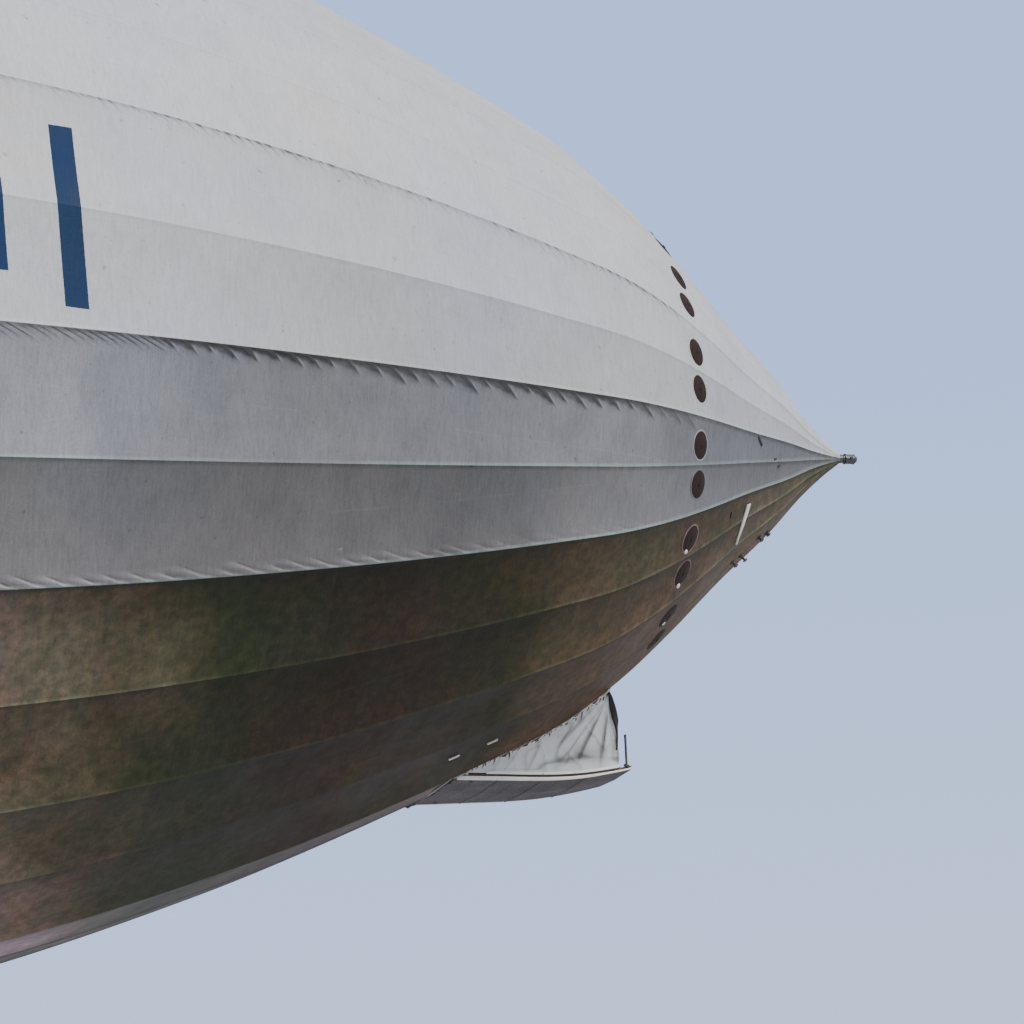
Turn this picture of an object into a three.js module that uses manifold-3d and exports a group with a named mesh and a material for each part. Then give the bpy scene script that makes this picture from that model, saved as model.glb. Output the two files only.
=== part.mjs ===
// A large rigid airship at 1:10, with its bow gangway let down.
// Millimetres. +X to the bow, +Y to port, +Z up. The origin is on the hull's
// axis at its centre of buoyancy, where the air holds the ship up.
// Tables give full-size metres: x is metres behind the nose, M turns metres
// into millimetres at 1:10.
import * as THREE from 'three';
import Module from 'manifold-3d';

const wasm = await Module();
wasm.setup();

// ---------------------------------------------------------------- sizes
const M = 100;                 // one full-size metre at 1:10
const SHELL = 10;              // the cover's thickness
const GAP = 0.3;               // between pieces that touch
const CLEAR = 5;               // between pieces that move past each other
const LENGTH = 223;            // m, nose to tail
const NOSE = 105;              // m, from the nose back to the origin
const MAX_X = 92;              // m, the widest frame
const MAX_R = 20.05;           // m, its radius to the main longitudinals
const REEF = 0.987;            // reefing longitudinals lie this much further in
const SIDES = 30;              // 15 main and 15 reefing longitudinals
const MAIN_LOW = 258;          // deg, the main longitudinal beside the belly band
const BELLY_COS = Math.abs(Math.cos(MAIN_LOW * Math.PI / 180));
const BELLY_SIN = Math.abs(Math.sin(MAIN_LOW * Math.PI / 180));
const STERN_POWER = 0.85;

// ---------------------------------------------------------------- colours
const COLOURS = {
  silver: [0xb9bcbd, 0.55, 0.25], silverDark: [0x9b9ea0, 0.6, 0.2],
  metal: [0x8a8d90, 0.4, 0.8], darkMetal: [0x3a3836, 0.5, 0.6],
  canvas: [0xd9dade, 0.85, 0.0], paint: [0xe9e6dc, 0.5, 0.0],
  deck: [0x6b5a48, 0.8, 0.0], glass: [0x9fb4bd, 0.1, 0.0],
  wood: [0x5a3a24, 0.45, 0.0], iron: [0x4b4d4f, 0.6, 0.6],
};
const material = (key) => {
  const [color, roughness, metalness] = COLOURS[key];
  return new THREE.MeshStandardMaterial({ color, roughness, metalness });
};

// ---------------------------------------------------------------- shaping
const rad = (deg) => deg * Math.PI / 180;
const X = (x) => (NOSE - x) * M;              // station behind the nose to +X mm

function signedVolume(points, faces) {
  let v = 0;
  for (const [a, b, c] of faces) {
    const [p, q, r] = [points[a], points[b], points[c]];
    v += p[0] * (q[1] * r[2] - q[2] * r[1]) - p[1] * (q[0] * r[2] - q[2] * r[0])
       + p[2] * (q[0] * r[1] - q[1] * r[0]);
  }
  return v;
}

function geometryOf(points, faces) {
  const out = signedVolume(points, faces) < 0 ? faces.map(([a, b, c]) => [a, c, b]) : faces;
  const g = new THREE.BufferGeometry();
  g.setAttribute('position', new THREE.Float32BufferAttribute(points.flat(), 3));
  g.setIndex(out.flat());
  return g;
}

// The two directions of a ring in which its end cap is drawn flat.
function capFaces(ring, base) {
  const c = new THREE.Vector3(), n = new THREE.Vector3();
  const v = ring.map((p) => new THREE.Vector3(...p));
  v.forEach((p) => c.add(p)); c.divideScalar(v.length);
  v.forEach((p, i) => n.add(p.clone().sub(c).cross(v[(i + 1) % v.length].clone().sub(c))));
  n.normalize();
  const u = v[1].clone().sub(v[0]).normalize();
  const w = n.clone().cross(u);
  const flat = v.map((p) => new THREE.Vector2(p.clone().sub(c).dot(u), p.clone().sub(c).dot(w)));
  return THREE.ShapeUtils.triangulateShape(flat, []).map((t) => t.map((i) => i + base));
}

// Joins rings of equally many points. A closed run of rings makes a tube with
// an open way through; an open run has its two ends capped.
function loft(rings, closed = false) {
  const n = rings[0].length, points = rings.flat(), faces = [];
  const last = closed ? rings.length : rings.length - 1;
  for (let k = 0; k < last; k++) {
    const a = k * n, b = ((k + 1) % rings.length) * n;
    for (let i = 0; i < n; i++) {
      const j = (i + 1) % n;
      faces.push([a + i, a + j, b + j], [a + i, b + j, b + i]);
    }
  }
  if (!closed) {
    faces.push(...capFaces(rings[0], 0).map(([p, q, r]) => [r, q, p]));
    faces.push(...capFaces(rings[rings.length - 1], (rings.length - 1) * n));
  }
  return geometryOf(points, faces);
}

// A flat piece in the plane of x and h, with its own half thickness at each
// corner of its outline.
function plate(corners) {
  const n = corners.length;
  const points = [...corners.map(([x, h, t]) => [x, t, h]), ...corners.map(([x, h, t]) => [x, -t, h])];
  const flat = corners.map(([x, h]) => new THREE.Vector2(x, h));
  const tris = THREE.ShapeUtils.triangulateShape(flat, []);
  const faces = [];
  // the side at +t and the side at -t, turned to face away from each other
  const area = THREE.ShapeUtils.area(flat);
  for (const [a, b, c] of tris) {
    faces.push([a, b, c], [a + n, c + n, b + n]);
  }
  const ccw = area > 0;
  for (let i = 0; i < n; i++) {
    const j = (i + 1) % n;
    if (ccw) faces.push([j, i, i + n], [j, i + n, j + n]);
    else faces.push([i, j, j + n], [i, j + n, i + n]);
  }
  return geometryOf(points, faces);
}

const solid = (geometry, matrix) => {
  const g = geometry.clone();
  if (matrix) g.applyMatrix4(matrix);
  let index = Array.from(g.index.array);
  if (matrix && matrix.determinant() < 0) {
    for (let i = 0; i < index.length; i += 3) [index[i], index[i + 1]] = [index[i + 1], index[i]];
  }
  return new wasm.Manifold(new wasm.Mesh({
    numProp: 3,
    vertProperties: new Float32Array(g.attributes.position.array),
    triVerts: new Uint32Array(index),
  }));
};
const geometryFrom = (s) => {
  const m = s.getMesh();
  const g = new THREE.BufferGeometry();
  g.setAttribute('position', new THREE.Float32BufferAttribute(Array.from(m.vertProperties), 3));
  g.setIndex(Array.from(m.triVerts));
  return g;
};

// A prism with n sides along +Z, from z0 to z1.
const prism = (n, r, z0, z1, r1 = r) => loft([[r, z0], [r1, z1]].map(([q, z]) =>
  Array.from({ length: n }, (_, i) => [q * Math.cos(2 * Math.PI * (i + 0.5) / n),
    q * Math.sin(2 * Math.PI * (i + 0.5) / n), z])));
// A rectangular block between two corners.
const block = (lo, hi) => loft([lo[2], hi[2]].map((z) =>
  [[lo[0], lo[1], z], [hi[0], lo[1], z], [hi[0], hi[1], z], [lo[0], hi[1], z]]));
// A round bar from a to b.
function bar(a, b, r, n = 8) {
  const from = new THREE.Vector3(...a), to = new THREE.Vector3(...b);
  const g = prism(n, r, 0, from.distanceTo(to));
  const q = new THREE.Quaternion().setFromUnitVectors(new THREE.Vector3(0, 0, 1),
    to.clone().sub(from).normalize());
  g.applyQuaternion(q);
  g.translate(from.x, from.y, from.z);
  return g;
}

// ---------------------------------------------------------------- the hull
// station: m behind the nose; r: m, radius to the main longitudinals
const BOW = [
  { station: 0.35, r: 0.47 }, { station: 1.0, r: 1.04 }, { station: 2.0, r: 2.07 },
  { station: 3.5, r: 3.43 }, { station: 5.0, r: 4.88 }, { station: 6.4, r: 6.12 },
  { station: 8.0, r: 7.28 }, { station: 9.8, r: 8.22 }, { station: 12.2, r: 9.36 },
  { station: 16, r: 10.95 }, { station: 22, r: 12.96 }, { station: 30, r: 14.80 },
  { station: 42, r: 16.81 }, { station: 60, r: 18.80 }, { station: 76, r: 19.72 },
  { station: MAX_X, r: MAX_R },
];
const STERN_STATIONS = [108, 124, 140, 156, 170, 182, 193, 203, 211, 217, 221, 222.6];
const sternR = (x) => MAX_R * (1 - ((x - MAX_X) / (LENGTH - MAX_X)) ** 2) ** STERN_POWER;
const STATIONS = [...BOW, ...STERN_STATIONS.map((x) => ({ station: x, r: sternR(x) }))];

function hullR(x) {
  const s = STATIONS;
  for (let i = 1; i < s.length; i++) {
    if (x <= s[i].station || i === s.length - 1) {
      const t = (x - s[i - 1].station) / (s[i].station - s[i - 1].station);
      return s[i - 1].r + t * (s[i].r - s[i - 1].r);
    }
  }
}
const slopeAt = (x) => (hullR(x + 0.01) - hullR(x - 0.01)) / 0.02;
const ringAt = (xmm, r, grow = 0) => Array.from({ length: SIDES }, (_, i) => {
  const a = rad(90 + i * 360 / SIDES), q = (i % 2 ? REEF : 1) * r + grow;
  return [xmm, q * Math.cos(a), q * Math.sin(a)];
});
const stationsBetween = (a, b) => [a, ...STATIONS.map((s) => s.station)
  .filter((x) => x > a + 0.01 && x < b - 0.01), b];

// The cover's outer form, filled, grown by a gap for what meets it.
function hullForm(a, b, grow) {
  return solid(loft(stationsBetween(a, b).map((x) => ringAt(X(x), hullR(x) * M, grow))));
}

// An open ring of cover from station a to station b.
function coverRing(a, b) {
  const ends = stationsBetween(a, b);
  const at = (x, i) => X(x) + (i === 0 ? -GAP / 2 : i === ends.length - 1 ? GAP / 2 : 0);
  const outer = ends.map((x, i) => ringAt(at(x, i), hullR(x) * M));
  const inner = ends.map((x, i) => {
    const lean = Math.max(Math.abs(slopeAt(x - 0.02)), Math.abs(slopeAt(x + 0.02)));
    return ringAt(at(x, i), hullR(x) * M, -SHELL * Math.hypot(1, lean));
  });
  return loft([...outer, ...inner.reverse()], true);
}

const root = new THREE.Group();
root.rotation.order = 'XYZ';
function add(parent, name, geometry, key) {
  const mesh = new THREE.Mesh(geometry, material(key));
  mesh.name = name;
  geometry.computeVertexNormals();
  parent.add(mesh);
  return mesh;
}

// ---- nose cone: closed in front, hollow behind, and its mooring spindle
const NOSE_END = 2.0;
const TIP = { at: 46, r: 12 };
{
  const outer = [ringAt(X(0.35) + TIP.at, TIP.r),
    ...[0.35, 1.0, NOSE_END].map((x, i) => ringAt(X(x) + (i === 2 ? GAP / 2 : 0), hullR(x) * M))];
  const inner = [[NOSE_END, 2.07 * M - 16, GAP / 2], [1.0, 1.04 * M - 16, 0], [0.75, 0.50 * M, 0]]
    .map(([x, r, d]) => ringAt(X(x) + d, r));
  add(root, 'nose_cone', loft([...outer, ...inner]), 'silverDark');
}
// mm ahead of station 0.35 and radius: the collar, the shank, the head
const SPINDLE = [
  { at: TIP.at + GAP, r: 11 }, { at: TIP.at + 5, r: 11 }, { at: TIP.at + 6.5, r: 8 }, { at: 60, r: 8 },
  { at: 62, r: 12 }, { at: 84, r: 12 }, { at: 92, r: 7 },
];
const SPINDLE_FROM = X(0.35);
add(root, 'mooring_spindle', loft(SPINDLE.map(({ at, r }) =>
  Array.from({ length: 16 }, (_, i) => [SPINDLE_FROM + at, r * Math.cos(rad(i * 22.5)), r * Math.sin(rad(i * 22.5))]))), 'metal');

// ---- the vent cover: a ring of round air vents, a pair at each reefing line
const VENT = { station: 5.63, r: 35, off: 4.9, sides: 12 };
const BOW_JOIN = 6.4;
{
  let s = solid(coverRing(NOSE_END, BOW_JOIN));
  const r = hullR(VENT.station) * M, lean = Math.atan(slopeAt(VENT.station));
  const holes = [];
  for (let k = 0; k < 15; k++) {
    for (const side of [-1, 1]) {
      const a = 102 + 24 * k + side * VENT.off;
      const g = prism(VENT.sides, VENT.r, -80, 80);
      g.applyMatrix4(new THREE.Matrix4().makeRotationY(lean));       // leans to the bow
      g.translate(X(VENT.station), 0, r);
      g.applyMatrix4(new THREE.Matrix4().makeRotationX(rad(a - 90)));
      holes.push(solid(g));
    }
  }
  for (const h of holes) s = s.subtract(h);
  add(root, 'bow_vent_cover', geometryFrom(s), 'silver');
}

// ---- the bow cover: the doorway in its belly lies between the two low mains
const DOOR = { fore: 6.66, aft: 10.86, inset: 3 };
const BOW_END = 16;
{
  const xs = stationsBetween(DOOR.fore, DOOR.aft);
  const side = (x) => hullR(x) * M * BELLY_COS - DOOR.inset;
  const outline = [...xs.map((x) => [X(x), side(x)]), ...xs.slice().reverse().map((x) => [X(x), -side(x)])];
  const cut = loft([-1200, -300].map((z) => outline.map(([x, y]) => [x, y, z])));
  add(root, 'bow_cover', geometryFrom(solid(coverRing(BOW_JOIN, BOW_END)).subtract(solid(cut))), 'silver');
}

// ---- the other bays of the cover
// name, from and to: stations behind the nose
const BAYS = [
  ['hull_bay_1', 16, 30], ['hull_bay_2', 30, 42], ['hull_bay_3', 42, 60], ['hull_bay_4', 60, 76],
  ['hull_bay_5', 76, 92], ['hull_bay_6', 92, 108], ['hull_bay_7', 108, 124], ['hull_bay_8', 124, 140],
  ['hull_bay_9', 140, 156], ['hull_bay_10', 156, 170], ['hull_bay_11', 170, 182], ['hull_bay_12', 182, 203],
];
for (const [name, from, to] of BAYS) add(root, name, coverRing(from, to), 'silver');

// ---- tail cone: open towards the hull, closed at the stern
const TAIL_FROM = 203;
{
  const xs = stationsBetween(TAIL_FROM, 222.6);
  const outer = xs.map((x, i) => ringAt(X(x) + (i === 0 ? -GAP / 2 : 0), hullR(x) * M));
  const inner = xs.slice(0, -2).map((x, i) => ringAt(X(x) + (i === 0 ? -GAP / 2 : 0), hullR(x) * M, -SHELL * 1.15));
  inner.push(ringAt(X(221), hullR(221) * M, -SHELL * 1.4));
  add(root, 'tail_cone', loft([...outer.slice().reverse(), ...inner]), 'silver');
}

// ---------------------------------------------------------------- the tail
const HINGE_X = 212.3;         // m, the rudders' and elevators' hinge line
const FIN = {                  // m behind the nose, m from the axis, half thickness in m
  corners: [[177, 8.0, 0.10], [205.5, 14.3, 0.10], [209.5, 15.3, 0.10], [HINGE_X - 0.35, 15.4, 0.14], [HINGE_X - 0.35, 2.0, 0.28]],
};
const FLAP = { rootT: 0.28, tipT: 0.14, rootGap: 0.22, tip: 15.4, chord: 5.2, tipChord: 3.9, edge: 0.04, corner: 13.9 };
// place, turn about X from upright, and the names of the two pieces
const TAIL = [
  { fin: 'upper_fin', flap: 'upper_rudder', turn: 0 },
  { fin: 'port_fin', flap: 'port_elevator', turn: -90 },
  { fin: 'lower_fin', flap: 'lower_rudder', turn: 180 },
  { fin: 'starboard_fin', flap: 'starboard_elevator', turn: 90 },
];
const hullStern = hullForm(160, 222.6, GAP);
// A quarter turn is a reefing line's place on neither side, so every fin is
// cut by the cover where it really stands.
for (const { fin, flap, turn } of TAIL) {
  const spin = new THREE.Matrix4().makeRotationX(rad(turn));
  const f = plate(FIN.corners.map(([x, h, t]) => [X(x), h * M, t * M]));
  add(root, fin, geometryFrom(solid(f, spin).subtract(hullStern)), 'silver');

  // the moving surface: a rounded nose about the hinge line and a thin edge
  const rootH = (x) => (hullR(HINGE_X) + FLAP.rootGap + (x - HINGE_X) * (hullR(HINGE_X + FLAP.chord) - hullR(HINGE_X)) / FLAP.chord) * M;
  const section = (t, chord, h) => {
    const nose = [90, 60, 30, 0, -30, -60, -90].map((a) => [t * Math.cos(rad(a)) * M, t * Math.sin(rad(a)) * M]);
    const pts = [...nose.map(([dx, y]) => [X(HINGE_X) + dx, y]),
      [X(HINGE_X + chord), -FLAP.edge * M], [X(HINGE_X + chord), FLAP.edge * M]];
    return pts.map(([px, y]) => [px, y, h(NOSE - px / M)]);
  };
  const rings = [
    section(FLAP.rootT, FLAP.chord, rootH),
    section(FLAP.tipT + 0.02, FLAP.chord, () => FLAP.corner * M),
    section(FLAP.tipT, FLAP.tipChord, () => FLAP.tip * M),
  ];
  const g = loft(rings);
  g.applyMatrix4(spin);
  add(root, flap, g, 'silver');
}

// ---------------------------------------------------------------- engine cars
// A car hangs upright under the cover. x: m behind the nose; angle: deg round
// the hull, 270 straight down; the airscrew turns behind the car.
const CARS = [
  { name: 'forward_starboard', x: 66, angle: 242 }, { name: 'forward_port', x: 66, angle: 298 },
  { name: 'aft_starboard', x: 134, angle: 242 }, { name: 'aft_port', x: 134, angle: 298 },
  { name: 'centre', x: 161, angle: 270 },
];
const AIRSCREW = { r: 2.45, hull: 0.35, x: -3.78, hubR: 0.2, hubHalf: 0.17 };
// x: m ahead of the car's middle; hw, hh: half width and half height
const CAR_SECTIONS = [
  { x: 3.45, hw: 0.42, hh: 0.52 }, { x: 3.0, hw: 0.80, hh: 0.98 }, { x: 2.0, hw: 1.04, hh: 1.28 },
  { x: 0, hw: 1.10, hh: 1.35 }, { x: -1.8, hw: 0.94, hh: 1.14 }, { x: -3.0, hw: 0.48, hh: 0.58 }, { x: -3.4, hw: 0.26, hh: 0.26 },
];
const CAR_WALL = 0.08;
const ENGINE = { aft: -1.1, long: 2.5, wide: 0.8, floor: -0.93, high: 1.4 };
const oval = (x, hw, hh, n = 16) => Array.from({ length: n }, (_, i) => {
  const a = 2 * Math.PI * (i + 0.5) / n;
  return [x * M, hw * M * Math.cos(a), hh * M * Math.sin(a)];
});
const carForm = (grow, cut = 0) => loft(CAR_SECTIONS.map(({ x, hw, hh }) =>
  oval(x + (x > 3.4 ? grow - cut : x < -3.3 ? -grow + cut : 0), hw + grow, hh + grow)));
// Windows in the car's sides and the radiator's mouth in its bow.
const CAR_OPENINGS = [
  { lo: [0.9, -2, 0.25], hi: [1.45, 2, 0.75] }, { lo: [-0.9, -2, 0.25], hi: [-0.35, 2, 0.75] },
  { lo: [2.9, -0.26, -0.30], hi: [3.8, 0.26, 0.30] },
];
const carShell = (() => {
  const s = solid(carForm(0)), inside = solid(loft(CAR_SECTIONS.slice(0, -1).map(({ x, hw, hh }, i) =>
    oval(i === 0 ? x - CAR_WALL : x, Math.max(hw - CAR_WALL * (i === 0 ? 2.2 : 1.1), 0.05), Math.max(hh - CAR_WALL * (i === 0 ? 2.2 : 1.1), 0.05)))));
  let out = s.subtract(inside);
  for (const { lo, hi } of CAR_OPENINGS) out = out.subtract(solid(block(lo.map((v) => v * M), hi.map((v) => v * M))));
  return geometryFrom(out);
})();
const carKeepOut = carForm(GAP / M);

// One blade's sections: r from the hub's axis, chord, thickness, twist in deg.
const BLADE = [
  { r: 0.05, chord: 0.22, t: 0.16, twist: 62 }, { r: 0.55, chord: 0.34, t: 0.12, twist: 48 },
  { r: 1.30, chord: 0.42, t: 0.08, twist: 30 }, { r: 2.10, chord: 0.34, t: 0.05, twist: 20 },
  { r: AIRSCREW.r, chord: 0.14, t: 0.03, twist: 17 },
];
const airscrew = (() => {
  const blade = loft(BLADE.map(({ r, chord, t, twist }) => {
    const c = Math.cos(rad(twist)), s = Math.sin(rad(twist));
    return [[0.5, 0], [0.2, 0.5], [-0.2, 0.45], [-0.5, 0], [-0.2, -0.45], [0.2, -0.5]].map(([u, v]) => {
      const y = u * chord, x = v * t;
      return [(x * c - y * s) * M, (x * s + y * c) * M, r * M];
    });
  }));
  const hub = prism(16, AIRSCREW.hubR * M, -AIRSCREW.hubHalf * M, AIRSCREW.hubHalf * M);
  hub.applyMatrix4(new THREE.Matrix4().makeRotationY(Math.PI / 2));
  const spinner = loft([[0, 0.2], [-0.15, 0.18], [-0.32, 0.07]].map(([dx, r]) =>
    Array.from({ length: 16 }, (_, i) => [(-AIRSCREW.hubHalf + 0.01 + dx) * M, r * M * Math.cos(rad(i * 22.5)), r * M * Math.sin(rad(i * 22.5))])));
  return geometryFrom(solid(hub).add(solid(blade)).add(solid(blade, new THREE.Matrix4().makeRotationX(Math.PI))).add(solid(spinner)));
})();

const hullMiddle = hullForm(50, 180, GAP);
for (const { name, x, angle } of CARS) {
  const far = hullR(x + 1) * M * REEF + (AIRSCREW.r + AIRSCREW.hull) * M;
  const cy = far * Math.cos(rad(angle)), cz = far * Math.sin(rad(angle));
  const car = new THREE.Group();
  car.position.set(X(x), cy, cz);
  root.add(car);
  add(car, `${name}_engine_car`, carShell.clone(), 'metal');
  add(car, `${name}_engine`, block([ENGINE.aft * M, -ENGINE.wide * M / 2, ENGINE.floor * M],
    [(ENGINE.aft + ENGINE.long) * M, ENGINE.wide * M / 2, (ENGINE.floor + ENGINE.high) * M]), 'iron');
  const screw = new THREE.Group();
  screw.position.set(AIRSCREW.x * M, 0, 0);
  car.add(screw);
  add(screw, `${name}_airscrew`, airscrew.clone(), 'wood');

  // struts: a rail along the car's back and four legs to the cover
  const inY = -Math.cos(rad(angle)), inZ = -Math.sin(rad(angle));
  const reach = 1 / Math.hypot(inY / 1.06, inZ / 1.30);
  const seat = [cy + inY * reach * M, cz + inZ * reach * M];
  let s = solid(bar([X(x) + 1.9 * M, ...seat], [X(x) - 1.9 * M, ...seat], 9));
  for (const dx of [1.6, -1.6]) {
    for (const da of [-6.5, 6.5]) {
      const r = (hullR(x - dx) - 0.5) * M, a = rad(angle + da);
      s = s.add(solid(bar([X(x) + dx * M, ...seat], [X(x) + dx * M * 1.35, r * Math.cos(a), r * Math.sin(a)], 6)));
    }
  }
  const keep = solid(carKeepOut, new THREE.Matrix4().makeTranslation(X(x), cy, cz));
  add(root, `${name}_car_struts`, geometryFrom(s.subtract(hullMiddle).subtract(keep)), 'metal');
}

// ---------------------------------------------------------------- control car
const CONTROL = { x: 92, top: -18.9, floor: -22.35, wall: 0.08 };
// half the car's plan: m ahead of its middle, m to the side
const CONTROL_PLAN = [[3.3, 0.28], [3.0, 0.75], [2.2, 1.12], [1.2, 1.2], [-1.6, 1.2], [-2.8, 0.75], [-3.4, 0.2]];
const controlRing = (z, scale, inset) => {
  const half = CONTROL_PLAN.map(([x, y]) => [x * scale - Math.sign(x) * inset, Math.max(y * scale - inset, 0.05)]);
  const pts = [...half, ...half.slice().reverse().map(([x, y]) => [x, -y])];
  return pts.map(([x, y]) => [X(CONTROL.x) + x * M, y * M, z * M]);
};
const CONTROL_LEVELS = [[CONTROL.top, 1], [-21.2, 1], [-22.1, 0.88], [CONTROL.floor, 0.66]];
const hullMid = hullForm(76, 108, GAP);
{
  let s = solid(loft(CONTROL_LEVELS.map(([z, k]) => controlRing(z, k, 0))));
  s = s.subtract(solid(loft(CONTROL_LEVELS.map(([z, k], i) =>
    controlRing(i === 0 ? z + 0.5 : i === 3 ? z + CONTROL.wall : z, k, CONTROL.wall)))));
  s = s.subtract(hullMid);
  // windows: middle of the pane on the wall, its heading and its width
  const panes = [[3.3, 0, 0, 0.44], [3.15, 0.52, 32, 0.40], [3.15, -0.52, -32, 0.40],
    [2.6, 0.95, 66, 0.6], [2.6, -0.95, -66, 0.6]];
  for (const side of [1, -1]) for (const px of [1.7, 0.75, -0.2, -1.15]) panes.push([px, side * 1.18, side * 90, 0.8]);
  for (const [px, py, head, wide] of panes) {
    const g = block([-0.35 * M, -wide * M / 2, -21.05 * M], [0.35 * M, wide * M / 2, -20.3 * M]);
    g.applyMatrix4(new THREE.Matrix4().makeRotationZ(rad(head)));
    g.translate(X(CONTROL.x) + px * M, py * M, 0);
    s = s.subtract(solid(g));
  }
  add(root, 'control_car', geometryFrom(s), 'silverDark');
  const band = [-21.12, -20.2];
  const outer = band.map((z) => controlRing(z, 1, CONTROL.wall + 0.005));
  const inner = band.slice().reverse().map((z) => controlRing(z, 1, CONTROL.wall + 0.03));
  add(root, 'control_car_glass', loft([...outer, ...inner], true), 'glass');
}

// ---------------------------------------------------------------- gangway
// The gangway is the belly between the low mains. It hinges at its aft end;
// it is drawn flush with the cover and turned down by LOWERED.
const HINGE = { station: 10.80, z: -8.56 };
const LOWERED = 23.9;          // deg
const PANEL = { thick: 6, deck: 4 };
const RAIL = { low: -4, high: 11, thick: 4 };
const KERB = { high: 24, thick: 4, inset: 2 };
// station behind the nose and half width, m
const PANEL_TABLE = [
  { station: 6.74, half: 1.09 }, { station: 8.0, half: 1.265 }, { station: 9.8, half: 1.50 }, { station: 10.74, half: 1.62 },
];
const gangway = new THREE.Group();
gangway.position.set(X(HINGE.station), 0, HINGE.z * M);
gangway.rotation.y = rad(LOWERED);
root.add(gangway);
const gx = (station) => X(station) - X(HINGE.station);
const gz = (z) => (z - HINGE.z) * M;
// the belly's height at a station and a distance off the middle
function bellyZ(station, y) {
  const r = hullR(station), t = Math.min(Math.abs(y) / (r * BELLY_COS), 1);
  return -r * REEF + (r * REEF - r * BELLY_SIN) * t;
}
const edgeZ = ({ station, half }) => gz(bellyZ(station, half));
const keelZ = ({ station }) => gz(bellyZ(station, 0));
// a bar of four corners along the gangway, at the same stations as the panel
const alongPanel = (rows, y0, y1, z0, z1) => loft(rows.map((row) => {
  const x = gx(row.station), h = row.half * M, e = edgeZ(row);
  return [[x, y0(h), e + z0], [x, y1(h), e + z0], [x, y1(h), e + z1], [x, y0(h), e + z1]];
}));
add(gangway, 'gangway_panel', loft(PANEL_TABLE.map((row) => {
  const x = gx(row.station), w = row.half * M, e = edgeZ(row), k = keelZ(row), t = PANEL.thick;
  return [[x, -w, e], [x, 0, k], [x, w, e], [x, w, e + t], [x, 0, k + t], [x, -w, e + t]];
})), 'silverDark');
add(gangway, 'gangway_deck', alongPanel(PANEL_TABLE, (h) => KERB.inset + KERB.thick + 2 - h, (h) => h - KERB.inset - KERB.thick - 2,
  PANEL.thick + GAP, PANEL.thick + GAP + PANEL.deck), 'deck');
const STANCHION = { station: 6.86, high: 74, r: 2 };
for (const [place, side] of [['port', 1], ['starboard', -1]]) {
  add(gangway, `gangway_rail_${place}`, alongPanel(PANEL_TABLE, (h) => side * (h + GAP), (h) => side * (h + GAP + RAIL.thick),
    RAIL.low, RAIL.low + RAIL.high), 'paint');
  const kerb = solid(alongPanel(PANEL_TABLE, (h) => side * (h - KERB.inset), (h) => side * (h - KERB.inset - KERB.thick),
    PANEL.thick + GAP, KERB.high));
  const t = (STANCHION.station - PANEL_TABLE[0].station) / (PANEL_TABLE[1].station - PANEL_TABLE[0].station);
  const mix = (a, b) => a + t * (b - a);
  const foot = [gx(STANCHION.station), side * (mix(PANEL_TABLE[0].half, PANEL_TABLE[1].half) * M - KERB.inset - KERB.thick / 2),
    mix(edgeZ(PANEL_TABLE[0]), edgeZ(PANEL_TABLE[1])) + PANEL.thick + 6];
  // upright when the gangway is down
  const head = [foot[0] - Math.sin(rad(LOWERED)) * STANCHION.high, foot[1], foot[2] + Math.cos(rad(LOWERED)) * STANCHION.high];
  add(gangway, `gangway_kerb_${place}`, geometryFrom(kerb.add(solid(bar(foot, head, STANCHION.r)))), 'darkMetal');
}
const ROD_HALF = hullR(HINGE.station) * BELLY_COS * M - DOOR.inset - 1;
add(root, 'gangway_hinge_rod', bar([X(HINGE.station), -ROD_HALF, HINGE.z * M], [X(HINGE.station), ROD_HALF, HINGE.z * M], 3.5, 12), 'darkMetal');

// ---------------------------------------------------------------- side screens
// Canvas laced to the cover along each low main, hanging outside the gangway.
// station, bottom: m; the top follows the cover.
const SCREEN = [
  { top: 6.72, foot: 6.46, bottom: -8.00 }, { top: 8.0, foot: 7.85, bottom: -8.14 },
  { top: 9.0, foot: 8.95, bottom: -8.24 }, { top: 9.8, foot: 9.78, bottom: -8.30 },
  { top: 10.22, foot: 10.22, bottom: -8.38 },
];
const CANVAS = 4;
for (const [name, side] of [['gangway_screen_port', 1], ['gangway_screen_starboard', -1]]) {
  const rings = SCREEN.map(({ top, foot, bottom }) => {
    const yt = hullR(top) * M * BELLY_COS - 1.5, zt = -hullR(top) * M * BELLY_SIN - 0.6;
    const yb = hullR(foot) * M * BELLY_COS - 1.5;
    return [[X(top), side * yt, zt], [X(foot), side * yb, bottom * M],
      [X(foot), side * (yb - CANVAS), bottom * M], [X(top), side * (yt - CANVAS), zt - 0.6]];
  });
  add(root, name, loft(rings), 'canvas');
}

export default root;
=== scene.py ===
import math

import bmesh
import bpy
import numpy as np
from mathutils import Matrix, Vector


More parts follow.
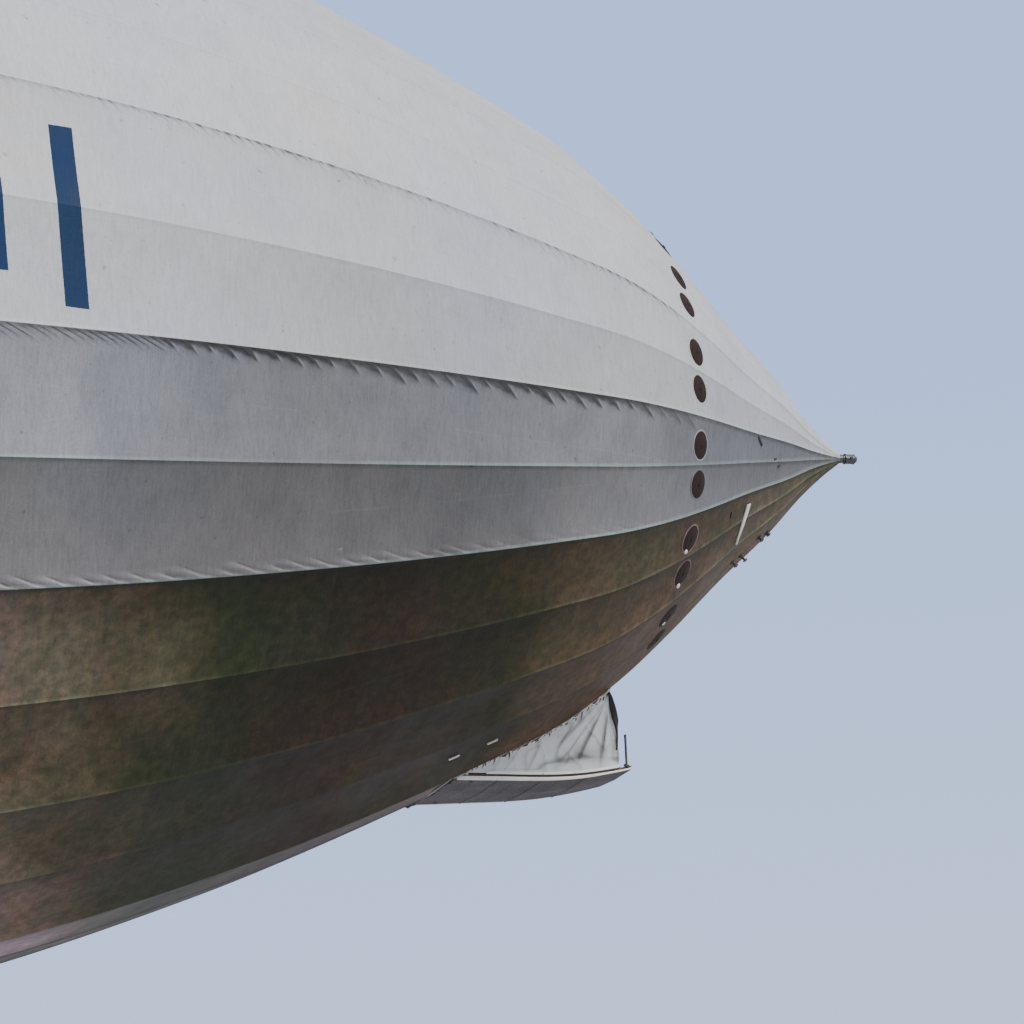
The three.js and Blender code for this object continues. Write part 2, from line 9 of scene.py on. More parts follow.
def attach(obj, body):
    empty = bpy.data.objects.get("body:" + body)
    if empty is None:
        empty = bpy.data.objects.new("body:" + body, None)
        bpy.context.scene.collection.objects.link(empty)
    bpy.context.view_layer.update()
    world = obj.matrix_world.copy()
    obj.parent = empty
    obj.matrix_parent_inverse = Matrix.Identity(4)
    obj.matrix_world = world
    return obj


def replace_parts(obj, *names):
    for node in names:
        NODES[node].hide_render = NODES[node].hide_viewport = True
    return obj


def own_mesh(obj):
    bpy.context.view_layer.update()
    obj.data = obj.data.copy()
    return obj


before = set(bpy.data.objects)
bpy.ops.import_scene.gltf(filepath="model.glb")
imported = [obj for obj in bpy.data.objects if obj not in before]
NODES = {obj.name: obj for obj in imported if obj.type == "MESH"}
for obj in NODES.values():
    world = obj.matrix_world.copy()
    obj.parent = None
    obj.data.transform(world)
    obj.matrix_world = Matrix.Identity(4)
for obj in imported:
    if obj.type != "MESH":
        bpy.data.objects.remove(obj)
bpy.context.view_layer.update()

# ------------------------------------------------------------------ sizes
# Stations are full-size metres behind the nose; M turns them into metres at 1:10.
M = 0.1
NOSE = 105.0
MAX_X, MAX_R, LENGTH = 92.0, 20.05, 223.0
REEF = 0.987
SIDES = 30
BOW = [(-0.11, 0.12), (0.35, 0.47), (1.0, 1.04), (2.0, 2.07), (3.5, 3.43), (5.0, 4.88), (6.4, 6.12), (8.0, 7.28), (9.8, 8.22),
       (12.2, 9.36), (16, 10.95), (22, 12.96), (30, 14.80), (42, 16.81), (60, 18.80), (76, 19.72), (92, 20.05),
       (108, 19.80), (124, 19.03)]


def X(station):
    return (NOSE - station) * M


def slopes(xs, ys):
    """Slopes of a smooth curve through the points that never overshoots them."""
    d = np.diff(ys) / np.diff(xs)
    h = np.diff(xs)
    m = np.zeros(len(xs))
    for i in range(1, len(xs) - 1):
        if d[i - 1] * d[i] > 0:
            w1, w2 = 2 * h[i] + h[i - 1], h[i] + 2 * h[i - 1]
            m[i] = (w1 + w2) / (w1 / d[i - 1] + w2 / d[i])
    m[0], m[-1] = d[0], d[-1]
    return m


BX, BY = np.array([p[0] for p in BOW], float), np.array([p[1] for p in BOW], float)
BM = slopes(BX, BY)


def hull_r(x):
    """Radius to the main longitudinals at a station, full-size metres."""
    x = np.asarray(x, float)
    i = np.clip(np.searchsorted(BX, x, side="right") - 1, 0, len(BX) - 2)
    h = BX[i + 1] - BX[i]
    t = (x - BX[i]) / h
    bow = (BY[i] * (1 + 2 * t) * (1 - t) ** 2 + h * BM[i] * t * (1 - t) ** 2
           + BY[i + 1] * t * t * (3 - 2 * t) + h * BM[i + 1] * t * t * (t - 1))
    stern = MAX_R * np.clip(1 - ((x - MAX_X) / (LENGTH - MAX_X)) ** 2, 0, 1) ** 0.85
    return np.where(x <= MAX_X, bow, stern)


# ------------------------------------------------------------------ noise
def _hash(ix, iy, iz, seed):
    h = (ix * 374761393 + iy * 668265263 + iz * 1103515245 + seed * 974634777) & 0xFFFFFFFF
    h = ((h ^ (h >> 13)) * 1274126177) & 0xFFFFFFFF
    h = ((h ^ (h >> 15)) * 2246822519) & 0xFFFFFFFF
    return ((h >> 8) & 0xFFFF) / 65535.0


def noise(x, y=0.0, z=0.0, seed=0):
    """Smooth noise from -1 to 1."""
    x, y, z = np.broadcast_arrays(np.asarray(x, float), np.asarray(y, float), np.asarray(z, float))
    ix, iy, iz = (np.floor(v).astype(np.int64) for v in (x, y, z))
    fx, fy, fz = x - ix, y - iy, z - iz
    fx, fy, fz = (v * v * (3 - 2 * v) for v in (fx, fy, fz))
    out = 0
    for dx in (0, 1):
        for dy in (0, 1):
            for dz in (0, 1):
                w = (fx if dx else 1 - fx) * (fy if dy else 1 - fy) * (fz if dz else 1 - fz)
                out = out + w * _hash(ix + dx, iy + dy, iz + dz, seed)
    return out * 2 - 1


def rand(k, seed=0):
    k = np.asarray(k).astype(np.int64)
    return _hash(k, k * 0 + 7, k * 0 + 3, seed)


def smooth(a, b, x):
    t = np.clip((x - a) / (b - a), 0, 1)
    return t * t * (3 - 2 * t)


# ------------------------------------------------------------------ mesh helpers
def new_object(name, verts, faces, mat, body="hull", soft=True):
    mesh = bpy.data.meshes.new(name)
    mesh.from_pydata([tuple(v) for v in verts], [], [tuple(int(i) for i in f) for f in faces])
    mesh.update()
    if soft:
        mesh.polygons.foreach_set("use_smooth", np.ones(len(mesh.polygons), bool))
    obj = bpy.data.objects.new(name, mesh)
    bpy.context.scene.collection.objects.link(obj)
    for m in (mat if isinstance(mat, (list, tuple)) else [mat]):
        mesh.materials.append(m)
    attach(obj, body)
    return obj


def sharpen(obj, degrees):
    obj.data.set_sharp_from_angle(angle=math.radians(degrees))


def grid_faces(nu, nv, loop_u=False, loop_v=False, base=0, flip=False):
    iu = np.arange(nu if loop_u else nu - 1)
    iv = np.arange(nv if loop_v else nv - 1)
    a, b = np.meshgrid(iu, iv, indexing="ij")
    a2, b2 = (a + 1) % nu, (b + 1) % nv
    f = np.stack([a * nv + b, a * nv + b2, a2 * nv + b2, a2 * nv + b], -1).reshape(-1, 4) + base
    return f[:, ::-1] if flip else f


class Parts:
    """Collects many small solids into one piece."""

    def __init__(self):
        self.v, self.f = [], []

    def add(self, verts, faces, matrix=None):
        base = sum(len(v) for v in self.v)
        verts = np.asarray(verts, float).reshape(-1, 3)
        if matrix is not None:
            m = np.array(matrix, float)
            verts = verts @ m[:3, :3].T + m[:3, 3]
        self.v.append(verts)
        self.f.extend([[int(i) + base for i in f] for f in faces])
        return self

    def rod(self, a, b, r, n=10, r1=None, caps=True):
        """A round bar with slightly rounded ends."""
        a, b = np.array(a, float), np.array(b, float)
        d = b - a
        length = np.linalg.norm(d)
        if length < 1e-9:
            return self
        d /= length
        u = np.cross(d, [0, 0, 1] if abs(d[2]) < 0.9 else [1, 0, 0])
        u /= np.linalg.norm(u)
        w = np.cross(d, u)
        r1 = r if r1 is None else r1
        c = min(0.3 * r, length * 0.2)
        rings = [(0, r - c), (c, r), (length - c, r1), (length, max(r1 - c, r1 * 0.3))]
        ang = np.arange(n) * 2 * math.pi / n
        v = np.concatenate([a + d * s + q * (np.cos(ang)[:, None] * u + np.sin(ang)[:, None] * w) for s, q in rings])
        f = [list(x) for x in grid_faces(4, n, loop_v=True)]
        f += [list(range(n))[::-1] if True else [], [3 * n + i for i in range(n)]]
        return self.add(v, f)

    def path(self, points, r, n=8):
        """A tube along a line of points."""
        p = np.asarray(points, float)
        t = np.gradient(p, axis=0)
        t /= np.linalg.norm(t, axis=1)[:, None]
        up = np.array([0.0, 0.0, 1.0]) if abs(t[0][2]) < 0.9 else np.array([0.0, 1.0, 0.0])
        u = np.cross(t[0], up)
        rings = []
        ang = np.arange(n) * 2 * math.pi / n
        for k in range(len(p)):
            u = u - t[k] * (u @ t[k])
            u /= np.linalg.norm(u)
            w = np.cross(t[k], u)
            rings.append(p[k] + r * (np.cos(ang)[:, None] * u + np.sin(ang)[:, None] * w))
        f = [list(x) for x in grid_faces(len(p), n, loop_v=True)]
        f += [list(range(n))[::-1], [(len(p) - 1) * n + i for i in range(n)]]
        return self.add(np.concatenate(rings), f)

    def slab(self, centre, size, axes=None, bevel=0.0):
        """A block with chamfered edges. axes: three unit vectors."""
        b = bevel or min(size) * 0.12
        hx, hy, hz = (s / 2 for s in size)
        b = min(b, hx * 0.9, hy * 0.9, hz * 0.9)
        layers = [(-hz, b), (-hz + b, 0), (hz - b, 0), (hz, b)]
        v = []
        for z, i in layers:
            x, y = hx - i, hy - i
            v += [(x - b, -y, z), (x, -y + b, z), (x, y - b, z), (x - b, y, z),
                  (-x + b, y, z), (-x, y - b, z), (-x, -y + b, z), (-x + b, -y, z)]
        v = np.array(v)
        if axes is not None:
            v = v @ np.array(axes, float)
        f = [list(x) for x in grid_faces(4, 8, loop_v=True)]
        f += [list(range(8))[::-1], [24 + i for i in range(8)]]
        return self.add(v + np.array(centre, float), f)

    def ring(self, centre, normal, profile, n=48):
        """A closed profile of (radius, height) swept round an axis."""
        w = np.array(normal, float)
        w /= np.linalg.norm(w)
        u = np.cross(w, [0, 0, 1] if abs(w[2]) < 0.9 else [1, 0, 0])
        u /= np.linalg.norm(u)
        q = np.cross(w, u)
        ang = np.arange(n) * 2 * math.pi / n
        v = []
        for a in ang:
            d = math.cos(a) * u + math.sin(a) * q
            for r, h in profile:
                v.append(np.array(centre) + d * r + w * h)
        return self.add(v, [list(x) for x in grid_faces(n, len(profile), loop_u=True, loop_v=True)])

    def spin(self, centre, normal, profile, n=32):
        """An open profile of (radius, height) turned round an axis and closed at both ends."""
        w = np.array(normal, float)
        w /= np.linalg.norm(w)
        u = np.cross(w, [0, 0, 1] if abs(w[2]) < 0.9 else [1, 0, 0])
        u /= np.linalg.norm(u)
        q = np.cross(w, u)
        ang = np.arange(n) * 2 * math.pi / n
        v = []
        for r, h in profile:
            v.append(np.array(centre) + w * h + r * (np.cos(ang)[:, None] * u + np.sin(ang)[:, None] * q))
        f = [list(x) for x in grid_faces(len(profile), n, loop_v=True)]
        f += [list(range(n))[::-1], [(len(profile) - 1) * n + i for i in range(n)]]
        return self.add(np.concatenate(v), f)

    def build(self, name, mat, body="hull", soft=True, slot=None, sharp=35):
        obj = new_object(name, np.concatenate(self.v), self.f, mat, body, soft)
        bm = bmesh.new()
        bm.from_mesh(obj.data)
        bmesh.ops.recalc_face_normals(bm, faces=bm.faces)
        bm.to_mesh(obj.data)
        bm.free()
        if soft and sharp:
            sharpen(obj, sharp)
        return obj


# ------------------------------------------------------------------ materials
def node(nt, kind, inputs=None, **props):
    n = nt.nodes.new(kind)
    for k, v in props.items():
        setattr(n, k, v)
    for k, v in (inputs or {}).items():
        s = n.inputs[k]
        if isinstance(v, bpy.types.NodeSocket):
            nt.links.new(v, s)
        elif hasattr(s.default_value, "__len__") and not hasattr(v, "__len__"):
            s.default_value = (v,) * len(s.default_value)
        elif hasattr(v, "__len__") and len(s.default_value) == 4 and len(v) == 3:
            s.default_value = (*v, 1.0)
        else:
            s.default_value = v
    return n


class Mat:
    """A material with a Principled shader and short names for its usual nodes."""

    def __init__(self, name, **principled):
        self.mat = bpy.data.materials.new(name)
        self.mat.use_nodes = True
        self.nt = self.mat.node_tree
        self.nt.nodes.clear()
        self.out = self.nt.nodes.new("ShaderNodeOutputMaterial")
        self.p = self.nt.nodes.new("ShaderNodeBsdfPrincipled")
        self.nt.links.new(self.p.outputs[0], self.out.inputs[0])
        for k, v in principled.items():
            self.p.inputs[k.replace("_", " ")].default_value = v
        self.xyz = node(self.nt, "ShaderNodeTexCoord").outputs["Object"]

    def n(self, kind, inputs=None, **props):
        return node(self.nt, kind, inputs, **props)

    def scaled(self, x, y, z, rot=(0, 0, 0)):
        return self.n("ShaderNodeMapping", {"Vector": self.xyz, "Scale": (x, y, z), "Rotation": rot}).outputs[0]

    def noise(self, scale=1.0, detail=4.0, rough=0.55, vector=None, distortion=0.0):
        return self.n("ShaderNodeTexNoise", {"Vector": vector or self.xyz, "Scale": scale, "Detail": detail,
                                             "Roughness": rough, "Distortion": distortion}).outputs["Fac"]

    def attr(self, name):
        return self.n("ShaderNodeAttribute", attribute_name=name).outputs["Fac"]

    def math(self, op, a, b=0.0, c=0.0, clamp=False):
        return self.n("ShaderNodeMath", {0: a, 1: b, 2: c}, operation=op, use_clamp=clamp).outputs[0]

    def ramp(self, fac, stops, mode="LINEAR"):
        r = self.n("ShaderNodeValToRGB", {"Fac": fac})
        r.color_ramp.interpolation = mode
        e = r.color_ramp.elements
        while len(e) > 1:
            e.remove(e[-1])
        for i, (pos, col) in enumerate(stops):
            col = (col, col, col) if not hasattr(col, "__len__") else col
            x = e[0] if i == 0 else e.new(pos)
            x.position = pos
            x.color = (*col, 1.0)
        return r.outputs["Color"]

    def mix(self, fac, a, b, how="MIX"):
        return self.n("ShaderNodeMixRGB", {"Fac": fac, "Color1": a, "Color2": b}, blend_type=how).outputs[0]

    def bump(self, height, strength, distance, under=None):
        b = self.n("ShaderNodeBump", {"Height": height, "Strength": strength, "Distance": distance})
        if under is not None:
            self.nt.links.new(under, b.inputs["Normal"])
        return b.outputs[0]

    def set(self, **sockets):
        for k, v in sockets.items():
            self.nt.links.new(v, self.p.inputs[k.replace("_", " ")])
        return self.mat


# Plain upright bars on the bow: from, to (stations), top and foot (full-size metres above the axis)
BARS = [(22.495, 23.055, 3.20, -0.92), (24.32, 24.88, 1.80, -0.28), (26.285, 26.845, 3.20, -0.92),
        (28.18, 28.74, 1.80, -0.28), (30.085, 30.645, 3.20, -0.92)]


def cover_material(name="doped_linen", lift=1.0, toned=True, bars=True):
    """Silver-doped linen: brushed streaks, cloth seams, mottling, creases at the
    lacing with painted shade and painted highlight on them, and an underside painted dark as painted shade, with grime
    mottling on it."""
    m = Mat(name, Metallic=0.06, IOR=1.45, Specular_IOR_Level=0.3)
    tone = m.attr("tone") if toned else m.math("MULTIPLY", m.noise(0.5), 0.12)
    # painted shade: the colour darkens with tone, from the lit back of the ship down to its belly
    base = m.ramp(tone, [(0.0, (0.60 * lift, 0.605 * lift, 0.625 * lift)), (0.18, (0.46 * lift, 0.465 * lift, 0.48 * lift)),
                         (0.38, (0.235, 0.235, 0.252)), (0.58, (0.150, 0.146, 0.150)), (0.74, (0.078, 0.066, 0.072)), (0.785, (0.030, 0.0275, 0.019)), (0.8, (0.027, 0.0255, 0.0155)),
                         (1.0, (0.030, 0.0235, 0.0155))])
    # painted light and shade along the underside: lighter and browner at the very bow and towards amidships
    station = m.math("SUBTRACT", 105.0, m.math("MULTIPLY", m.n("ShaderNodeSeparateXYZ", {0: m.xyz}).outputs[0], 10.0))
    along = m.math("DIVIDE", station, 32.0)
    drift = m.math("ADD", along, m.math("MULTIPLY", m.math("SUBTRACT", m.noise(2.4, 4, 0.6), 0.5), 0.30))
    place = m.ramp(drift, [(0.11, (6.2, 5.1, 5.7)), (0.17, (3.8, 2.9, 2.8)), (0.265, (3.1, 2.35, 2.0)), (0.32, (1.55, 1.33, 0.95)),
                           (0.36, (0.98, 1.05, 0.60)), (0.43, (1.03, 0.76, 0.78)), (0.48, (1.0, 0.74, 0.72)), (0.54, (0.92, 1.10, 0.85)),
                           (0.60, (1.28, 1.42, 1.12)), (0.64, (2.7, 2.3, 2.1)), (0.70, (5.0, 4.2, 4.9)), (0.75, (5.6, 4.9, 6.4)), (1.0, (2.4, 2.3, 2.5))])
    base = m.mix(m.ramp(tone, [(0.6, 0.0), (0.8, 1.0)]), base, m.mix(1.0, base, place, "MULTIPLY"))
    if toned:
        # painted light and shade: slow changes of tone along the flanks
        for stops, share in ((((0.20, 0.90), (0.38, 0.83), (0.50, 0.81), (0.62, 0.96), (0.72, 1.0)), [(0.01, 0.0), (0.03, 0.6), (0.09, 1.0), (0.11, 1.0), (0.2, 0.0)]),
                             (((0.12, 0.80), (0.18, 0.80), (0.27, 1.10), (0.40, 0.90), (0.55, 0.90), (0.62, 1.02), (0.72, 1.40)), [(0.2, 0.0), (0.36, 1.0), (0.40, 1.0), (0.5, 0.0)]),
                             (((0.12, 1.25), (0.20, 1.45), (0.27, 1.48), (0.34, 1.0), (0.40, 0.84), (0.50, 0.96), (0.62, 1.0), (0.72, 1.22)), [(0.5, 0.0), (0.57, 1.0), (0.6, 1.0), (0.7, 0.0)])):
            base = m.mix(m.ramp(tone, share), base, m.mix(1.0, base, m.ramp(along, list(stops)), "MULTIPLY"))
    # long soft mottling: cool on the lit cloth, brown and green where it is grimed
    big = m.noise(1.7, 5, 0.6)
    mid = m.noise(7.5, 6, 0.62)
    cool = m.ramp(big, [(0.36, (0.95, 0.965, 1.03)), (0.5, (1.0, 1.0, 1.0)), (0.66, (1.03, 1.0, 0.965))])
    base = m.mix(1.0, base, cool, "MULTIPLY")
    grime = m.ramp(m.noise(2.6, 5, 0.62), [(0.34, (0.78, 0.92, 0.78)), (0.46, (0.92, 1.0, 0.90)), (0.54, (1.02, 0.98, 0.98)), (0.64, (1.35, 1.22, 1.12))])
    base = m.mix(m.ramp(tone, [(0.6, 0.0), (0.8, 1.0)]), base, m.mix(1.0, base, grime, "MULTIPLY"))
    grain = m.ramp(m.noise(1.0, 5, 0.66, m.scaled(34, 42, 42)), [(0.36, (0.70, 0.73, 0.69)), (0.5, (1.0, 1.0, 1.0)), (0.62, (1.40, 1.27, 1.20))])
    base = m.mix(m.ramp(tone, [(0.6, 0.0), (0.8, 0.85)]), base, m.mix(1.0, base, grain, "MULTIPLY"))
    patch = m.ramp(mid, [(0.34, 0.86), (0.5, 1.0), (0.68, 1.10)])
    base = m.mix(m.ramp(tone, [(0.0, 0.30), (0.35, 0.75), (1.0, 1.0)]), base, m.mix(1.0, base, patch, "MULTIPLY"))
    # brushed streaks across the ship and finer threads
    streak = m.noise(1.0, 4, 0.6, m.scaled(150, 24, 24))
    fine = m.noise(1.0, 3, 0.6, m.scaled(420, 120, 120))
    thread = m.noise(1.0, 2, 0.5, m.scaled(60, 380, 380))
    cloth = m.math("ADD", m.math("MULTIPLY", streak, 0.45), m.math("ADD", m.math("MULTIPLY", fine, 0.35), m.math("MULTIPLY", thread, 0.2)))
    weave = m.ramp(cloth, [(0.36, 0.80), (0.5, 1.0), (0.64, 1.17)])
    base = m.mix(m.ramp(tone, [(0.0, 0.56), (0.35, 0.88), (1.0, 1.0)]), base, m.mix(1.0, base, weave, "MULTIPLY"))
    # sewn seams along the ship, at a cloth's width, in broken faint lines
    seam = m.math("PINGPONG", m.math("DIVIDE", m.attr("across"), 0.062), 1.0)
    line = m.math("MULTIPLY", m.math("LESS_THAN", seam, 0.035), m.ramp(m.noise(1.0, 3, 0.6, m.scaled(5.5, 9, 9)), [(0.46, 0.0), (0.60, 1.0)]))
    base = m.mix(m.math("MULTIPLY", line, 0.09), base, m.ramp(tone, [(0.0, 0.42), (0.38, 0.42), (0.58, 0.30), (0.8, 0.08)]))
    # a row of plain painted bars, tall and short in turn, on both sides
    if bars:
        px = m.math("ADD", m.n("ShaderNodeSeparateXYZ", {0: m.xyz}).outputs[0], m.math("MULTIPLY", m.math("SUBTRACT", fine, 0.5), 0.0022))
        pz = m.math("ADD", m.n("ShaderNodeSeparateXYZ", {0: m.xyz}).outputs[2], m.math("MULTIPLY", m.math("SUBTRACT", streak, 0.5), 0.0030))
        # the bars lean a little aft at the top, with the run of the cloths
        px = m.math("ADD", px, m.math("ADD", m.math("MULTIPLY", m.math("SUBTRACT", pz, 0.1135), 0.0405), 0.00575))
        mask = None
        for fore, aft, top, foot in BARS:
            inside = m.math("MULTIPLY",
                            m.math("COMPARE", px, (X(fore) + X(aft)) / 2, (aft - fore) / 2 * M),
                            m.math("COMPARE", pz, (top + foot) / 2 * M, (top - foot) / 2 * M))
            mask = inside if mask is None else m.math("MAXIMUM", mask, inside)
        paint = m.mix(1.0, (0.0030, 0.026, 0.088, 1), m.ramp(mid, [(0.3, 0.85), (0.7, 1.15)]), "MULTIPLY")
        paint = m.mix(0.5, paint, m.mix(1.0, paint, weave, "MULTIPLY"))
        base = m.mix(mask, base, paint)
    # creases and the lines of the longitudinals: painted shade and painted highlight
    if toned:
        # painted shade: each side of the lower hull is darkest under its upper line
        shade = m.ramp(m.math("DIVIDE", m.attr("down"), 0.20), [(0.0, 0.58), (0.16, 0.78), (0.55, 1.0), (1.0, 1.22)])
        base = m.mix(m.ramp(tone, [(0.30, 0.0), (0.60, 0.35), (0.80, 1.0)]), base, m.mix(1.0, base, shade, "MULTIPLY"))
        # a ragged line of painted shade just under each longitudinal
        ragged = m.ramp(m.noise(1.0, 4, 0.6, m.scaled(16, 60, 60)), [(0.35, 0.55), (0.6, 1.0)])
        dark = m.math("MULTIPLY", m.ramp(m.math("DIVIDE", m.attr("down"), 0.012), [(0.0, 1.0), (0.28, 0.9), (1.0, 0.0)]), m.attr("under"))
        dark = m.math("MULTIPLY", dark, ragged)
        base = m.mix(m.math("MULTIPLY", dark, 0.85, clamp=True), base, m.mix(0.80, base, (0.018, 0.021, 0.018), "MIX"))
        # a pale line of painted highlight along each longitudinal
        pale = m.math("MULTIPLY", m.ramp(m.math("DIVIDE", m.attr("up"), 0.009), [(0.0, 1.0), (0.45, 0.8), (1.0, 0.0)]), m.attr("above"), clamp=True)
        pale = m.math("MULTIPLY", pale, m.ramp(m.noise(1.1, 3, 0.55), [(0.40, 0.25), (0.60, 1.0)]))
        base = m.mix(pale, base, m.mix(1.0, base, m.ramp(tone, [(0.1, (1.28, 1.46, 1.36)), (0.5, (1.50, 1.85, 1.55)), (0.8, (1.7, 2.1, 2.1))]), "MULTIPLY"))
        keel = m.math("MULTIPLY", m.ramp(m.math("DIVIDE", m.attr("up"), 0.030), [(0.0, 1.0), (0.5, 1.0), (1.0, 0.0)]), m.math("MULTIPLY", m.attr("above"), -1.0), clamp=True)
        base = m.mix(m.math("MULTIPLY", keel, 0.75), base, (0.030, 0.022, 0.028, 1))
    # painted shade in the hollows of creases and gathers
    base = m.mix(m.math("MULTIPLY", m.attr("crease"), 0.95, clamp=True), base, m.mix(0.90, base, m.ramp(tone, [(0.2, (0.028, 0.025, 0.024)), (0.7, (0.020, 0.018, 0.0175))]), "MIX"))
    # painted highlight on the ridges of the gathers
    base = m.mix(m.math("MULTIPLY", m.attr("pale"), 1.0, clamp=True), base, m.mix(1.0, base, (1.80, 1.74, 1.78), "MULTIPLY"))
    # specks and small stains
    speck = m.ramp(m.noise(46, 2, 0.5), [(0.24, 0.55), (0.29, 1.0)])
    base = m.mix(0.6, base, m.mix(1.0, base, speck, "MULTIPLY"))
    height = m.math("ADD", cloth, m.math("MULTIPLY", line, 0.6))
    rough = m.n("ShaderNodeMapRange", {"Value": mid, "From Min": 0.3, "From Max": 0.7, "To Min": 0.50, "To Max": 0.68}).outputs[0]
    return m.set(Base_Color=base, Roughness=rough, Normal=m.bump(height, 0.35, 0.004))


def metal_material(name, colour, rough=0.42, metallic=0.75, wear=0.15, dirt=(0.10, 0.085, 0.07), scale=1.0):
    m = Mat(name, Metallic=metallic)
    big, fine = m.noise(6 * scale, 5, 0.6), m.noise(90 * scale, 4, 0.6)
    base = m.mix(m.ramp(big, [(0.4, 0.0), (0.72, wear * 2.2)]), (*colour, 1), (*dirt, 1))
    base = m.mix(1.0, base, m.ramp(fine, [(0.3, 0.86), (0.55, 1.0), (0.7, 1.12)]), "MULTIPLY")
    r = m.n("ShaderNodeMapRange", {"Value": fine, "From Min": 0.3, "From Max": 0.7, "To Min": rough - 0.1, "To Max": rough + 0.14}).outputs[0]
    return m.set(Base_Color=base, Roughness=r, Normal=m.bump(m.noise(260 * scale, 3, 0.6), 0.18, 0.0015))


def paint_material(name, colour, rough=0.5, chips=(0.18, 0.15, 0.12), amount=0.5, scale=1.0, metallic=0.0):
    m = Mat(name, Metallic=metallic)
    big, fine = m.noise(9 * scale, 6, 0.65), m.noise(70 * scale, 5, 0.6)
    base = m.mix(1.0, (*colour, 1), m.ramp(big, [(0.35, 0.84), (0.55, 1.0), (0.72, 1.08)]), "MULTIPLY")
    chip = m.ramp(fine, [(0.62, 0.0), (0.70, amount)])
    base = m.mix(chip, base, (*chips, 1))
    r = m.n("ShaderNodeMapRange", {"Value": big, "From Min": 0.3, "From Max": 0.7, "To Min": rough - 0.08, "To Max": rough + 0.15}).outputs[0]
    return m.set(Base_Color=base, Roughness=r, Normal=m.bump(m.math("ADD", fine, m.math("MULTIPLY", chip, -0.5)), 0.15, 0.001))


def wood_material(name, dark, light, rough=0.45, along="x", scale=1.0):
    m = Mat(name, Coat_Weight=0.25, Coat_Roughness=0.25)
    s = {"x": (3, 60, 60), "y": (60, 3, 60), "z": (60, 60, 3)}[along]
    grain = m.noise(1.0, 6, 0.6, m.scaled(*(v * scale for v in s)), 0.6)
    fine = m.noise(1.0, 3, 0.6, m.scaled(*(v * scale * 6 for v in s)))
    base = m.ramp(grain, [(0.3, dark), (0.5, tuple((a + b) / 2 for a, b in zip(dark, light))), (0.7, light)])
    base = m.mix(1.0, base, m.ramp(fine, [(0.3, 0.82), (0.7, 1.12)]), "MULTIPLY")
    r = m.n("ShaderNodeMapRange", {"Value": grain, "From Min": 0.3, "From Max": 0.7, "To Min": rough - 0.08, "To Max": rough + 0.12}).outputs[0]
    return m.set(Base_Color=base, Roughness=r, Normal=m.bump(fine, 0.2, 0.0008))


def canvas_material(name="white_canvas"):
    """Thin white canvas that lets some light through."""
    m = Mat(name, Roughness=0.8, Sheen_Weight=0.25, Sheen_Roughness=0.5)
    stain = m.noise(14, 5, 0.62)
    warp = m.noise(1.0, 2, 0.5, m.scaled(1500, 900, 250))
    base = m.ramp(stain, [(0.3, (0.82, 0.84, 0.86)), (0.5, (0.93, 0.945, 0.96)), (0.7, (0.965, 0.97, 0.98))])
    base = m.mix(1.0, base, m.ramp(warp, [(0.35, 0.94), (0.65, 1.04)]), "MULTIPLY")
    # painted shade in the folds, from the fold attribute
    base = m.mix(m.math("MULTIPLY", m.attr("fold"), 0.92, clamp=True), base, (0.105, 0.118, 0.104, 1))
    m.nt.links.new(base, m.p.inputs["Base Color"])
    bump = m.bump(m.math("ADD", warp, m.math("MULTIPLY", stain, 0.4)), 0.3, 0.001)
    m.nt.links.new(bump, m.p.inputs["Normal"])
    thin = m.n("ShaderNodeBsdfTranslucent", {"Color": base, "Normal": bump})
    mix = m.n("ShaderNodeMixShader", {0: 0.42, 1: m.p.outputs[0], 2: thin.outputs[0]})
    m.nt.links.new(mix.outputs[0], m.out.inputs[0])
    return m.mat


def vent_material():
    m = Mat("vent_lining", Metallic=0.0, Specular_IOR_Level=0.3)
    n = m.noise(40, 5, 0.6)
    # dark maroon lining, darkened further as painted shade of the vent's recess
    base = m.ramp(n, [(0.3, (0.015, 0.008, 0.006)), (0.55, (0.028, 0.013, 0.010)), (0.75, (0.046, 0.023, 0.019))])
    return m.set(Base_Color=base, Roughness=m.ramp(n, [(0.3, 0.6), (0.7, 0.85)]), Normal=m.bump(n, 0.3, 0.002))


def glass_material():
    m = Mat("car_window_glass", Roughness=0.06, Transmission_Weight=0.85, IOR=1.45)
    n = m.noise(20, 3, 0.5)
    base = m.ramp(n, [(0.3, (0.62, 0.70, 0.72)), (0.7, (0.78, 0.84, 0.85))])
    return m.set(Base_Color=base, Normal=m.bump(n, 0.05, 0.001))


MAT_COVER = cover_material()
MAT_FIN = cover_material("doped_linen_fins", 0.93, False, False)
MAT_NOSE = metal_material("nose_dural", (0.40, 0.405, 0.41), 0.45, 0.55, 0.2, (0.16, 0.13, 0.10))
MAT_STEEL = metal_material("dull_steel", (0.30, 0.305, 0.31), 0.38, 0.9, 0.22, (0.09, 0.07, 0.055))
MAT_SPINDLE = metal_material("greased_steel", (0.135, 0.135, 0.14), 0.42, 0.7, 0.3, (0.05, 0.04, 0.035))
MAT_DARK = metal_material("blackened_steel", (0.055, 0.052, 0.05), 0.5, 0.6, 0.3, (0.12, 0.08, 0.055))
MAT_ALU = metal_material("car_dural", (0.47, 0.475, 0.48), 0.40, 0.6, 0.12, (0.2, 0.18, 0.16))
MAT_IRON = metal_material("engine_cast_iron", (0.12, 0.12, 0.122), 0.55, 0.6, 0.3, (0.05, 0.04, 0.035))
MAT_STRUT = metal_material("strut_steel_tube", (0.34, 0.345, 0.35), 0.42, 0.8, 0.2, (0.12, 0.1, 0.08))
MAT_CONTROL = metal_material("control_car_plate", (0.43, 0.435, 0.44), 0.42, 0.55, 0.14, (0.17, 0.15, 0.13))
